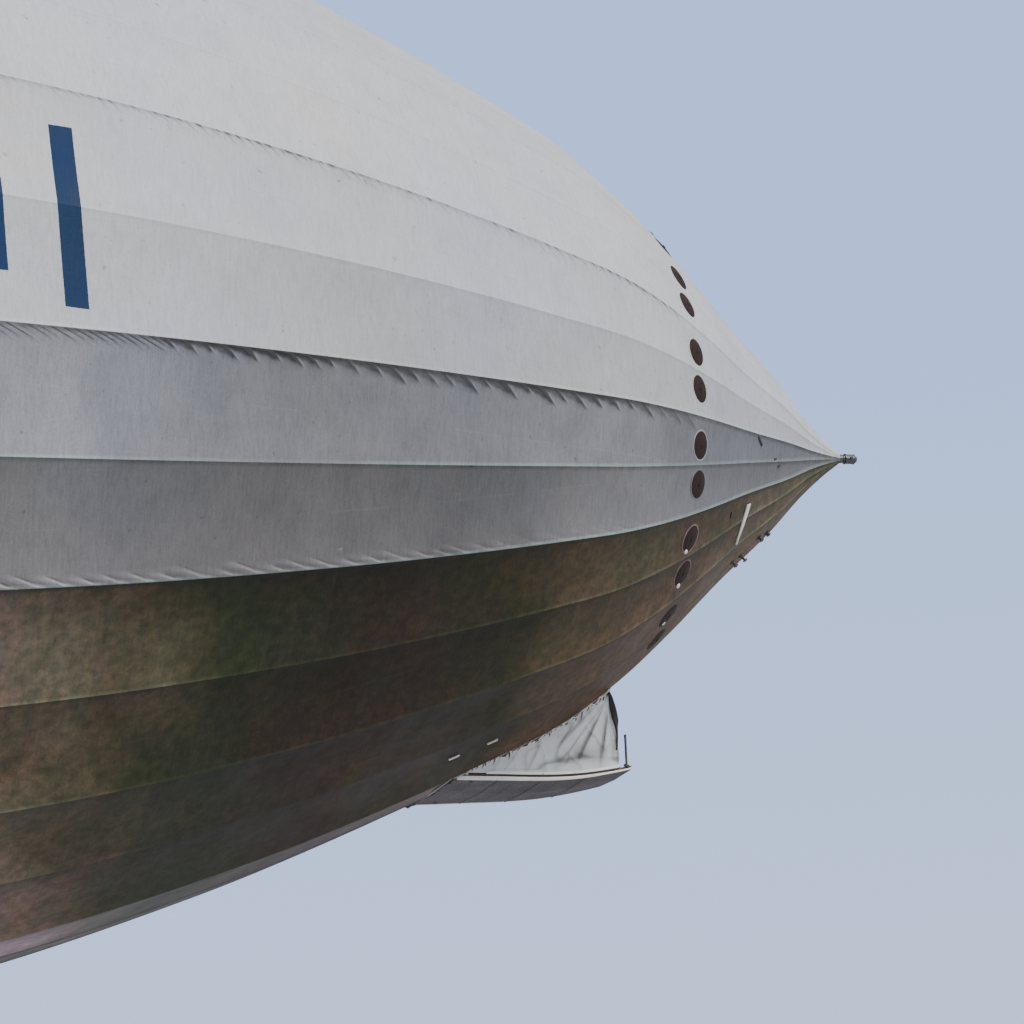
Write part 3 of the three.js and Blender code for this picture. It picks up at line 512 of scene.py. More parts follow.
MAT_SCREW = wood_material("laminated_walnut", (0.085, 0.038, 0.018), (0.26, 0.125, 0.058), 0.4, "z", 0.8)
MAT_DECK = wood_material("worn_deck_boards", (0.11, 0.085, 0.062), (0.27, 0.215, 0.16), 0.75, "x", 0.8)
MAT_KERB = paint_material("kerb_dark_paint", (0.075, 0.05, 0.045), 0.6, (0.2, 0.17, 0.14), 0.5)
MAT_RAIL = paint_material("white_rail_paint", (0.88, 0.87, 0.80), 0.45, (0.35, 0.31, 0.26), 0.6)
MAT_LEATHER = paint_material("black_leather", (0.020, 0.014, 0.016), 0.75, (0.05, 0.04, 0.035), 0.4)
MAT_RIM = paint_material("vent_rim_paint", (0.66, 0.655, 0.645), 0.45, (0.3, 0.25, 0.22), 0.6)
MAT_BLUE = paint_material("blue_dope", (0.022, 0.088, 0.225), 0.55, (0.06, 0.14, 0.28), 0.25)
MAT_VENT = vent_material()
MAT_CANVAS = canvas_material()
MAT_GLASS = glass_material()
MAT_BELLY = None  # made with the gangway

# ------------------------------------------------------------------ the cover
FR_FINE = [0, .015, .035, .06, .09, .125, .17, .23, .32, .46, .63, .81]
FR_PLAIN = [0, .04, .1, .18, .3, .45, .65, .85]
FR_VENTS = [0, .03] + [round(.07 + .044 * k, 4) for k in range(21)]
SAG = 0.020


def corner(i):
    """Direction and share of the radius of longitudinal i of 30."""
    a = math.radians(90 + 12 * (i % SIDES))
    q = 1.0 if i % 2 == 0 else REEF
    return np.array([math.cos(a) * q, math.sin(a) * q])


def side_values(fractions):
    """Every column round the ship: its side, and its share of the way over that side."""
    cols = []
    for i in range(SIDES):
        t = fractions if i % 2 == 0 else [0.0] + [1 - f for f in fractions[:0:-1]]
        cols += [(i, x) for x in t]
    return np.array([c[0] for c in cols]), np.array([c[1] for c in cols])


def cover_point(station, angle, lift=0.0):
    """A point on the plain cover, at an angle in degrees, and its outward normal."""
    def at(s, a):
        i = int(((a - 90) % 360) // 12)
        p0, p1 = corner(i), corner(i + 1)
        a0, a1 = math.radians(90 + 12 * i), math.radians(90 + 12 * (i + 1))
        ar = math.radians((a - 90) % 360 + 90)
        w0, w1 = np.linalg.norm(p0) * math.sin(ar - a0), np.linalg.norm(p1) * math.sin(a1 - ar)
        t = w0 / (w0 + w1)
        r = float(hull_r(s)) * M
        p = (p0 * (1 - t) + p1 * t) * r
        n = (p0 + p1) / np.linalg.norm(p0 + p1)
        p = p - n * SAG * np.linalg.norm(p1 - p0) * r * 4 * t * (1 - t)
        return np.array([X(s), p[0], p[1]])
    p = at(station, angle)
    e = at(station + 0.05, angle) - at(station - 0.05, angle)
    c = at(station, angle + 0.4) - at(station, angle - 0.4)
    n = np.cross(c, e)
    n /= np.linalg.norm(n)
    if n[1] * p[1] + n[2] * p[2] < 0:
        n = -n
    return p + n * lift, n


# How much the cover puckers below and above each main longitudinal, by the
# angle of that longitudinal on the starboard side; the port side is its mirror.
PUCKER = {90: (0.12, 0.12), 114: (0.15, 0.12), 138: (0.18, 0.12), 162: (0.42, 0.06), 186: (1.0, 0.05),
          210: (0.16, 0.85), 234: (0.20, 0.30), 258: (0.25, 0.25)}


def shade_tone_of(angle):
    """0 on the bright back of the ship to 1 on its belly, by the middle angle of a side: painted shade that deepens
    down the sides, with painted light reflected from the floor on the lowest side.
    """
    a = angle % 360
    a = 180 - a if a < 90 else (540 - a if a > 270 else a)      # onto the starboard side
    table = [(162, 0.0), (174, 0.02), (186, 0.10), (198, 0.38), (210, 0.58), (222, 0.80), (234, 0.84), (246, 0.92), (258, 0.98), (271, 0.74)]
    for top, value in table:
        if a <= top:
            return value
    return 1.0


# The line at each longitudinal: how dark its painted shade is under it, and how pale its painted highlight is on it, by
# the middle angle of the side below it and of the side above it.
UNDER = {156: .10, 168: .30, 180: .16, 192: 1.0, 204: .75, 216: 1.0, 228: .62, 240: .66, 252: .12, 264: .30}
ABOVE = {156: .10, 168: .10, 180: .55, 192: .75, 204: 1.0, 216: .62, 228: .62, 240: .10, 252: .20, 264: -1.0}


def mirrored(i):
    """Middle angle of side i, or of its mirror on the starboard side."""
    a = 96 + 12 * i
    return a if a < 270 else 540 - a


def side_lines(mesh, faces, row, face_side, side, t, radius, na, width):
    """Distance below the line over each side and above the line under it, and
    how strong the painted shade and painted highlight at these two lines are."""
    col = faces % na
    tc = np.where(side[col] == face_side[:, None], t[col], 1.0)
    w = np.array([np.linalg.norm(corner(i + 1) - corner(i)) for i in range(SIDES)])[face_side][:, None] * radius[faces // na]
    star = (face_side < 15)[:, None]
    down = np.where(star, tc * w, (1 - tc) * w)
    mesh.attributes.new("down", "FLOAT", "CORNER").data.foreach_set("value", down.astype(np.float32).ravel())
    mesh.attributes.new("up", "FLOAT", "CORNER").data.foreach_set("value", (w - down).astype(np.float32).ravel())
    for key, table in (("under", UNDER), ("above", ABOVE)):
        by_side = np.array([table.get(mirrored(i), .10) for i in range(SIDES)], np.float32)
        mesh.attributes.new(key, "FLOAT", "FACE").data.foreach_set("value", by_side[face_side])


def lumps(xx, fy, fz, share, r):
    """Slow unevenness of doped cloth between its lines."""
    h = noise(xx * 3.3, fy * 5.0, fz * 5.0, 3) * 0.0030 + noise(xx * 11.0, fy * 14.0, fz * 14.0, 8) * 0.0009
    return h * np.sin(np.pi * np.clip(share, 0, 1)) * np.minimum(r / 0.5, 1.0)


def cover(name, a, b, step, fractions, nodes, hole=None, pitch=0.045, inner_rows=None, extra=(), amount=1.0, snap=None, rows_at=None):
    """One section of the hull's cover between two stations, inside and out."""
    count = max(2, int(round((b - a) * M / step)) + 1)
    st = np.unique(np.round(np.concatenate([np.linspace(a, b, count), np.array(extra, float)]), 4))
    keep = [0]
    for k in range(1, len(st)):       # no two rings closer than a third of a step
        if (st[k] - st[keep[-1]]) * M < step * 0.35:
            if st[k] in extra or k == len(st) - 1:
                if keep[-1] != 0 and st[keep[-1]] not in extra:
                    keep[-1] = k
                    continue
            else:
                continue
        keep.append(k)
    st = st[keep] if rows_at is None else np.array(rows_at, float)
    side, t = side_values(fractions)
    na, ns = len(side), len(st)
    c0 = np.array([corner(i) for i in side])
    c1 = np.array([corner(i + 1) for i in side])
    width = np.linalg.norm(c1 - c0, axis=1)
    mid = (c0 + c1) / np.linalg.norm(c0 + c1, axis=1)[:, None]
    flat = c0 * (1 - t)[:, None] + c1 * t[:, None] - mid * (SAG * width * 4 * t * (1 - t))[:, None]
    r = hull_r(st) * M
    x = X(st)
    pts = np.zeros((ns, na, 3))
    pts[..., 0] = x[:, None]
    pts[..., 1:] = flat[None] * r[:, None, None]

    # distance from the nearest main longitudinal, and whether that is downwards
    even = side % 2 == 0
    main = np.where(even, side, (side + 1) % SIDES)
    main_angle = (90 + 12 * main) % 360
    star = (main_angle > 90) & (main_angle < 270)
    below = np.where(star, even, ~even)
    u = np.where(even, t, 1 - t)[None] * width[None] * r[:, None]
    mirror = np.where(star | (main_angle == 90), main_angle, np.where(main_angle < 90, 180 - main_angle, 540 - main_angle))
    strength = np.array([PUCKER.get(int(round(v)), (0.15, 0.15))[0 if d else 1] for v, d in zip(mirror, below)])
    if a < 25:                 # the gathers there are strips of their own
        strength = strength * np.where(np.isin(mirror * 2 + below, (162 * 2 + 1, 186 * 2 + 1, 210 * 2)), 0.0, 1.0)
    v = np.where(below[None], u, -u)                 # positive down the ship's side
    xx = x[:, None] + 0.0 * u
    # weaker towards the nose, with stretches of strong and weak gathers
    along = 0.35 + 0.65 * smooth(4.5, 9.0, st)
    seed = main * 17 + below * 5
    patchy = np.clip(0.75 + 0.55 * noise(xx * 1.9, seed[None] * 3.1, 0.5, 11), 0.15, 1.25)
    reach = (0.036 + 0.016 * noise(xx * 2.3, seed[None] * 1.7, 2.5, 5)) * np.where(below, 1.0, 0.72)[None]
    reach *= 0.75 + 0.35 * smooth(14, 24, st)[:, None]
    height = np.zeros_like(u)
    crease = np.zeros_like(u)
    for scale, share, s0 in ((1.0, 1.0, 21), (0.43, 0.42, 57)):
        c = (xx - 1.45 * v) / (pitch * scale) + 0.55 * noise(xx * 9 / scale, seed[None] * 2.3, 1.5, s0) + seed[None] * 0.37
        k = np.floor(c)
        f = c - k
        amp = 0.30 + 0.70 * rand(k + seed[None] * 131, s0)
        far = reach * (0.60 + 0.75 * rand(k + seed[None] * 197, s0 + 3)) * (1.0 if scale == 1.0 else 0.7)
        env = (1 - np.exp(-u / 0.0022)) * (1 - smooth(far * 0.35, far, u))
        fold = np.where(f < 0.74, 1 - f / 0.74, (f - 0.74) / 0.26) ** 1.15 - 0.45
        height += share * amp * env * fold
        # crease: painted shade on the steep side of each pucker's hollow
        dark = np.exp(-((f - 0.87) / 0.10) ** 2)
        crease += share * amp * env * dark
    height *= 0.0062 * strength[None] * patchy * along[:, None] * amount
    crease *= strength[None] * patchy * along[:, None] * amount
    # slow unevenness of doped cloth between its lines, fading out at the frames
    panel = np.where(even, t, 1 - t)[None]
    height += lumps(xx, flat[None, :, 0], flat[None, :, 1], panel, r[:, None])
    ends = np.minimum(smooth(0, 0.012, (st - a) * M), smooth(0, 0.012, (b - st) * M))
    height *= ends[:, None]
    pts[..., 1:] += mid[None] * height[..., None]

    if snap is not None:
        pts = snap(pts)

    crease = np.clip(crease, 0, 1)

    inner = np.array(inner_rows if inner_rows is not None else sorted({a, b, *[s for s in np.linspace(a, b, max(3, int((b - a) / 4)))]}), float)
    lean = np.abs((hull_r(inner + 0.02) - hull_r(inner - 0.02)) / 0.04)
    deep = 0.0095 * np.hypot(1, lean)
    ri = hull_r(inner) * M
    back = np.zeros((len(inner), na, 3))
    back[..., 0] = X(inner)[:, None]
    back[..., 1:] = flat[None] * ri[:, None, None] - mid[None] * deep[:, None, None]
    rows = np.concatenate([pts, back[::-1]])
    nr = len(rows)
    verts = rows.reshape(-1, 3)
    faces = grid_faces(nr, na, loop_u=True, loop_v=True)
    tones = np.array([shade_tone_of(90 + 12 * s + 6) for s in side])
    face_row = np.repeat(np.arange(nr), na)
    face_col = np.tile(np.arange(na), nr)
    face_tone = tones[face_col].astype(np.float32)
    centre = verts[faces].mean(1)
    gone = np.zeros(len(faces), bool)
    if hole is not None:
        gone = hole(centre, side[face_col])
    keep_faces = faces[~gone]
    mesh = bpy.data.meshes.new(name)
    mesh.vertices.add(len(verts))
    mesh.vertices.foreach_set("co", verts.astype(np.float32).ravel())
    mesh.loops.add(keep_faces.size)
    mesh.loops.foreach_set("vertex_index", keep_faces.astype(np.int32).ravel())
    mesh.polygons.add(len(keep_faces))
    mesh.polygons.foreach_set("loop_start", (np.arange(len(keep_faces)) * 4).astype(np.int32))
    mesh.polygons.foreach_set("loop_total", np.full(len(keep_faces), 4, np.int32))
    mesh.update(calc_edges=True)
    mesh.validate()
    mesh.polygons.foreach_set("use_smooth", np.ones(len(mesh.polygons), bool))
    if len(mesh.polygons) == len(keep_faces):
        mesh.attributes.new("tone", "FLOAT", "FACE").data.foreach_set("value", face_tone[~gone])
        side_lines(mesh, keep_faces, face_row[~gone], side[face_col[~gone]], side, t, np.concatenate([r, ri[::-1]]), na, width)
    zeros = np.zeros((nr - ns, na))
    for key, values in (("crease", crease), ("across", u)):
        mesh.attributes.new(key, "FLOAT", "POINT").data.foreach_set("value", np.concatenate([values, zeros]).astype(np.float32).ravel())
    # crisp lines at every longitudinal
    e = np.zeros(len(mesh.edges) * 2, np.int32)
    mesh.edges.foreach_get("vertices", e)
    e = e.reshape(-1, 2)
    col, row = e % na, e // na
    on_line = (t[col[:, 0]] == 0) & (col[:, 0] == col[:, 1])
    end = (row.min(1) == 0) & (row.max(1) == 0) | (row.min(1) == ns - 1) & (row.max(1) == ns - 1) | (row.min(1) == ns - 1) & (row.max(1) == ns) | (row.min(1) == 0) & (row.max(1) == nr - 1)
    sharp = mesh.attributes.get("sharp_edge") or mesh.attributes.new("sharp_edge", "BOOLEAN", "EDGE")
    sharp.data.foreach_set("value", on_line | end)
    obj = bpy.data.objects.new(name, mesh)
    bpy.context.scene.collection.objects.link(obj)
    mesh.materials.append(MAT_COVER)
    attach(obj, "hull")
    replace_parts(obj, *nodes)
    bm = bmesh.new()
    bm.from_mesh(mesh)
    if hole is not None:      # loose points inside a hole
        bmesh.ops.delete(bm, geom=[q for q in bm.verts if not q.link_faces], context="VERTS")
    bm.to_mesh(mesh)
    bm.free()
    return obj


# ---- the ring of vents
VENT_STATION, VENT_R, VENT_OFF = 5.63, 0.035, 4.9
VENTS = []
for k in range(15):
    for s in (-1, 1):
        VENTS.append(cover_point(VENT_STATION, 102 + 24 * k + s * VENT_OFF))


def vent_hole(centre, side):
    gone = np.zeros(len(centre), bool)
    for p, n in VENTS:
        d = centre - p
        h = d @ n
        gone |= (np.linalg.norm(d - h[:, None] * n, axis=1) < VENT_R - 0.0004) & (np.abs(h) < 0.03)
    return gone


def vent_snap(pts):
    """Moves the points beside each vent's edge onto it."""
    flat = pts.reshape(-1, 3)
    for p, n in VENTS:
        d = flat - p
        h = d @ n
        q = d - h[:, None] * n
        r = np.linalg.norm(q, axis=1)
        near = (np.abs(r - VENT_R) < 0.0026) & (np.abs(h) < 0.012)
        flat[near] += q[near] * (VENT_R / r[near] - 1)[:, None]
    return flat.reshape(pts.shape)


DOOR = (6.66, 10.86)


def door_hole(centre, side):
    """The doorway between the two low mains."""
    low = (side == 14) | (side == 15)
    y_edge = np.abs(centre[:, 1]) < hull_r((NOSE - centre[:, 0] / M)) * M * 0.2079 - 0.0032
    s = NOSE - centre[:, 0] / M
    return low & y_edge & (s > DOOR[0]) & (s < DOOR[1])


def hull():
    cover("cover_nose", -0.11, 2.0, 0.0075, FR_PLAIN, ["nose_cone"], inner_rows=[0.35, 0.75, 1.2, 2.0], amount=0.2)
    cover("cover_vents", 2.0, 6.4, 0.0055, FR_VENTS, ["bow_vent_cover"], hole=vent_hole, snap=vent_snap,
          rows_at=list(np.linspace(2.0, 5.10, 28)) + list(np.linspace(5.16, 6.10, 18)) + list(np.linspace(6.16, 6.4, 4)),
          inner_rows=list(np.linspace(2.0, 4.9, 6)) + list(np.linspace(5.1, 6.4, 15)))
    cover("cover_bow", 6.4, 16.0, 0.0110, FR_FINE, ["bow_cover"], hole=door_hole, extra=DOOR,
          inner_rows=[6.4, DOOR[0], 7.4, 8.0, 9.0, 9.8, DOOR[1], 12.2, 14, 16])
    cover("cover_bay_1_fore", 16.0, 26.0, 0.0115, FR_FINE, ["hull_bay_1"])
    plain = [("cover_bay_1_aft", 26, 30, "hull_bay_1"), ("cover_bay_2", 30, 42, "hull_bay_2"), ("cover_bay_3", 42, 60, "hull_bay_3"),
             ("cover_bay_4", 60, 76, "hull_bay_4"), ("cover_bay_5", 76, 92, "hull_bay_5"), ("cover_bay_6", 92, 108, "hull_bay_6"),
             ("cover_bay_7", 108, 124, "hull_bay_7"), ("cover_bay_8", 124, 140, "hull_bay_8"), ("cover_bay_9", 140, 156, "hull_bay_9"),
             ("cover_bay_10", 156, 170, "hull_bay_10"), ("cover_bay_11", 170, 182, "hull_bay_11"), ("cover_bay_12", 182, 203, "hull_bay_12")]
    for name, a, b, nd in plain:
        cover(name, a, b, 0.058, FR_PLAIN, [nd], pitch=0.20)
    cover("cover_tail", 203, 222.6, 0.044, FR_PLAIN, ["tail_cone"], pitch=0.17)


hull()


# ------------------------------------------------------------------ helpers that place things on the cover
def frame_at(station, angle, lift=0.0):
    """Point, outward normal, direction to the bow and direction down round the cover."""
    p, n = cover_point(station, angle, lift)
    f = cover_point(station - 0.05, angle)[0] - cover_point(station + 0.05, angle)[0]
    f /= np.linalg.norm(f)
    return p, n, f, np.cross(n, f)


def beam(parts, points, across, up, w, h):
    """A rectangular bar along a line of points; across and up are its axes."""
    p = np.asarray(points, float)
    across, up = np.broadcast_to(np.asarray(across, float), p.shape), np.broadcast_to(np.asarray(up, float), p.shape)
    c = min(w, h) * 0.22
    ring = [(-w / 2 + c, -h / 2), (w / 2 - c, -h / 2), (w / 2, -h / 2 + c), (w / 2, h / 2 - c), (w / 2 - c, h / 2),
            (-w / 2 + c, h / 2), (-w / 2, h / 2 - c), (-w / 2, -h / 2 + c)]
    v = np.concatenate([p[:, None, :] + across[:, None, :] * a + up[:, None, :] * b for a, b in ring], axis=1)
    f = [list(x) for x in grid_faces(len(p), 8, loop_v=True)] + [list(range(8))[::-1], [(len(p) - 1) * 8 + i for i in range(8)]]
    return parts.add(v.reshape(-1, 3), f)


# ------------------------------------------------------------------ vents: rims and linings
def toned(obj, shift=0.0):
    """Gives a piece the painted shade (tone) that the cover has at the same angle round the ship."""
    me = obj.data
    c = np.zeros(len(me.polygons) * 3)
    me.polygons.foreach_get("center", c)
    c = c.reshape(-1, 3)
    ang = np.degrees(np.arctan2(c[:, 2], c[:, 1])) % 360
    values = np.array([shade_tone_of(math.floor((x - 90) / 12) * 12 + 96) for x in ang], np.float32)
    me.attributes.new("tone", "FLOAT", "FACE").data.foreach_set("value", np.clip(values - shift * (values > .3), 0, 1).astype(np.float32))
    me.attributes.new("down", "FLOAT", "POINT").data.foreach_set("value", np.full(len(me.vertices), .1, np.float32))
    me.attributes.new("up", "FLOAT", "POINT").data.foreach_set("value", np.full(len(me.vertices), .1, np.float32))
    return obj


def vents():
    rims, cups = Parts(), Parts()
    for p, n in VENTS:
        rims.ring(p, n, [(0.0330, -0.006), (0.0330, 0.0002), (0.0338, 0.0007), (0.0358, 0.0008), (0.0368, 0.0005),
                         (0.0372, 0.0001), (0.0372, -0.004)], 48)
        cups.ring(p, n, [(0.0328, -0.0002), (0.0328, -0.0042), (0.0050, -0.0062), (0.0050, -0.0145), (0.0346, -0.0145), (0.0346, -0.0012)], 40)
        # a low domed lid with a rolled edge and a boss
        cups.spin(p, n, [(.0326, -.0040), (.0324, .0002), (.0312, .0012), (.0290, .0010), (.0270, .0018), (.0200, .0031), (.0110, .0038), (.0060, .0040)], 40)
        cups.spin(p, n, [(.0050, .0030), (.0050, .0050), (.0030, .0058)], 16)
    toned(rims.build("vent_rims", MAT_COVER, slot="doped_cover"), 0.10)
    cups.build("vent_shutters", MAT_VENT, sharp=30)


# ------------------------------------------------------------------ gathered strips along the fore longitudinals
def gathered(name, main, below, a, b, kind):
    """A strip of gathered cloth beside one main longitudinal, on both sides of
    the ship. Its columns slant with the gathers."""
    step = 0.0025
    st0 = np.linspace(a, b, int((b - a) * M / step) + 1)
    reach = {"laced": 0.052, "petals": 0.042, "dotted": 0.036}[kind]
    u = reach * np.array([0, .05, .12, .22, .34, .48, .64, .82, 1.0])
    along = X(st0)[:, None] + 0 * u[None]
    aft = smooth(20.6, 21.2, st0)[:, None]
    lean = {"laced": 1.30 + 1.05 * aft, "petals": 2.5 + 0 * aft, "dotted": 1.6 + 0 * aft}[kind]
    for side_of_ship in ("starboard", "port"):
        k0 = (main - 90) // 12
        i = k0 if below else k0 - 1            # the side the strip lies on
        if side_of_ship == "port":
            i = SIDES - 1 - i
        # from the main outwards
        at_start = (i % 2 == 0)
        p0, p1 = (corner(i), corner(i + 1)) if at_start else (corner(i + 1), corner(i))
        width = np.linalg.norm(p1 - p0)
        nrm = (p0 + p1) / np.linalg.norm(p0 + p1)
        v = u[None] if below else -u[None]
        seed = 3.0 if side_of_ship == "starboard" else 8.0
        seed += main * .1
        xx = along + lean * v + 0.004 * noise(along * 14, u[None] * 12, seed, 19) * np.minimum(u / .01, 1)[None]
        st = NOSE - xx / M
        r = hull_r(st) * M
        t = u[None] / (width * r)
        flat_y = p0[0] * (1 - t) + p1[0] * t - nrm[0] * SAG * width * 4 * t * (1 - t)
        flat_z = p0[1] * (1 - t) + p1[1] * t - nrm[1] * SAG * width * 4 * t * (1 - t)
        wander = noise(along * 2.1, seed, 0.5, 11)
        if kind == "laced":
            # long close strokes aft, wider teeth forward
            layers = [("stroke", .0260, aft, .0310, .17, 21), ("tooth", .0520, 1 - aft, .0390, .16, 33)]
            fade = .30 + .70 * smooth(5.6, 10.0, st0)[:, None]
        elif kind == "petals":
            layers = [("petal", .0640, 1.0, .0270, .16, 43)]
            fade = (.25 + .75 * smooth(9.0, 14.0, st0))[:, None]
        else:
            layers = [("stroke", .0300, .75, .0220, .13, 63)]
            fade = (.35 + .65 * (1 - smooth(15.0, 24.0, st0)) * smooth(3.5, 6.5, st0))[:, None]
        # height gives the gathers their shape; dark and light are painted shade in their hollows and along the main,
        # and painted highlight on their ridges
        height, dark, light = np.zeros_like(xx), np.zeros_like(xx), np.zeros_like(xx)
        for form, pitch, share, far, wide, key in layers:
            c = along / pitch + 0.42 * noise(along * .40 / pitch, seed, 1.5, key)
            k = np.floor(c)
            f = c - k
            amp = (0.60 + 0.40 * rand(k + seed * 131, key)) * share
            end = far * (0.55 + 0.60 * rand(k + seed * 197, key + 3))
            env = (1 - np.exp(-u[None] / 0.0018)) * (1 - smooth(end * 0.55, end * 1.05, u[None]))
            rise = np.where(f < 0.66, f / 0.66, 1 - (f - 0.66) / 0.34)
            height += amp * env * rise ** 1.3 * {"stroke": .0035, "tooth": .0060, "petal": .0060}[form] * (1.0 if kind != "dotted" else .7)
            if form == "petal":
                light += amp * env * np.exp(-((f - .60) / .28) ** 2) * 1.25
                dark += 1.25 * amp * np.exp(-((f - .93) / .10) ** 2) * smooth(end * .15, end * .5, u[None]) * (1 - smooth(end * .8, end * 1.15, u[None]))
            elif form == "tooth":
                edge = end * (.42 + .62 * np.where(f < .80, f / .80, (1 - f) / .20))
                body = 1 - smooth(edge * .72, edge * 1.04, u[None])
                dark += amp * body * (.86 + .95 * np.exp(-((f - .76) / .13) ** 2))
                light += .36 * amp * np.exp(-((f - .98) / .10) ** 2) * (1 - smooth(end * .6, end, u[None]))
            else:
                dark += (2.1 if kind == "laced" else 1.1) * amp * env * np.exp(-((f - .74) / wide) ** 2)
                light += amp * env * np.exp(-((f - .32) / .17) ** 2) * (1.15 if kind == "laced" else .15)
        patchy = np.clip(.85 + .6 * wander, .30, 1.2)
        if kind == "dotted":
            c = along / .026 + .6 * noise(along * 12, seed, 2.5, 91)
            k = np.floor(c)
            dot = (rand(k + seed * 57, 92) > .35) * np.exp(-(((c - k) - .5) / (.10 + .18 * rand(k + seed * 31, 93))) ** 2)
            dark += 1.9 * dot * np.exp(-((u[None] - .0020) / .0034) ** 2) * (.5 + .5 * rand(k + seed, 94))
            dark += .30 * np.exp(-(u[None] / .006) ** 2)
        if kind == "laced":
            dark += (.45 * aft + .55 * (1 - aft)) * np.exp(-(u[None] / .006) ** 2) * np.clip(.8 + .8 * noise(along * 30, seed, 3.5, 95), .2, 1.3)
        dark, light, height = dark * patchy * fade, light * patchy * fade, height * fade
        ends = np.minimum(smooth(0, 0.02, (st0 - a) * M), smooth(0, 0.02, (b - st0) * M))[:, None]
        skirt = smooth(.45, 1.0, u / reach)[None]
        over = .0004 * ends * (1 - skirt) - .0005 * skirt - .0008 * (1 - ends) + height * ends * (1 - smooth(.7, 1.0, u / reach)[None])
        over = over + lumps(xx, flat_y, flat_z, t, r)
        top = np.stack([xx, flat_y * r + nrm[0] * over, flat_z * r + nrm[1] * over], -1)
        back = top[:, [-1, 0]].copy()
        back[..., 1] -= nrm[0] * .0040
        back[..., 2] -= nrm[1] * .0040
        rows = np.concatenate([top, back], axis=1)
        n2, nu = rows.shape[1], len(u)
        flip = (not at_start)
        faces = [list(q)[::-1] if flip else list(q) for q in grid_faces(len(st0), n2, loop_v=True)]
        for q in (list(range(n2)), [(len(st0) - 1) * n2 + j for j in range(n2)][::-1]):
            faces.append(q[::-1] if not flip else q)
        obj = new_object("%s_%s" % (name, side_of_ship), rows.reshape(-1, 3), faces, MAT_COVER)
        bm = bmesh.new()
        bm.from_mesh(obj.data)
        bmesh.ops.recalc_face_normals(bm, faces=bm.faces)
        bm.to_mesh(obj.data)
        bm.free()
        me = obj.data
        pad = np.zeros((len(st0), 2))
        for key, values in (("crease", np.clip(dark, 0, 1)), ("pale", np.clip(light, 0, 1)), ("across", u[None] + 0 * xx)):
            me.attributes.new(key, "FLOAT", "POINT").data.foreach_set("value", np.concatenate([values, pad], axis=1).astype(np.float32).ravel())
        down = (u[None] + 0 * xx) if below else (width * r - u[None])
        for key, values in (("down", down), ("up", width * r - down)):
            me.attributes.new(key, "FLOAT", "POINT").data.foreach_set("value", np.concatenate([values, pad + .1], axis=1).astype(np.float32).ravel())
        nf = len(me.polygons)
        for key, value in (("tone", shade_tone_of(96 + 12 * i)), ("under", UNDER.get(mirrored(i), .1)), ("above", ABOVE.get(mirrored(i), .1))):
            me.attributes.new(key, "FLOAT", "FACE").data.foreach_set("value", np.full(nf, value, np.float32))


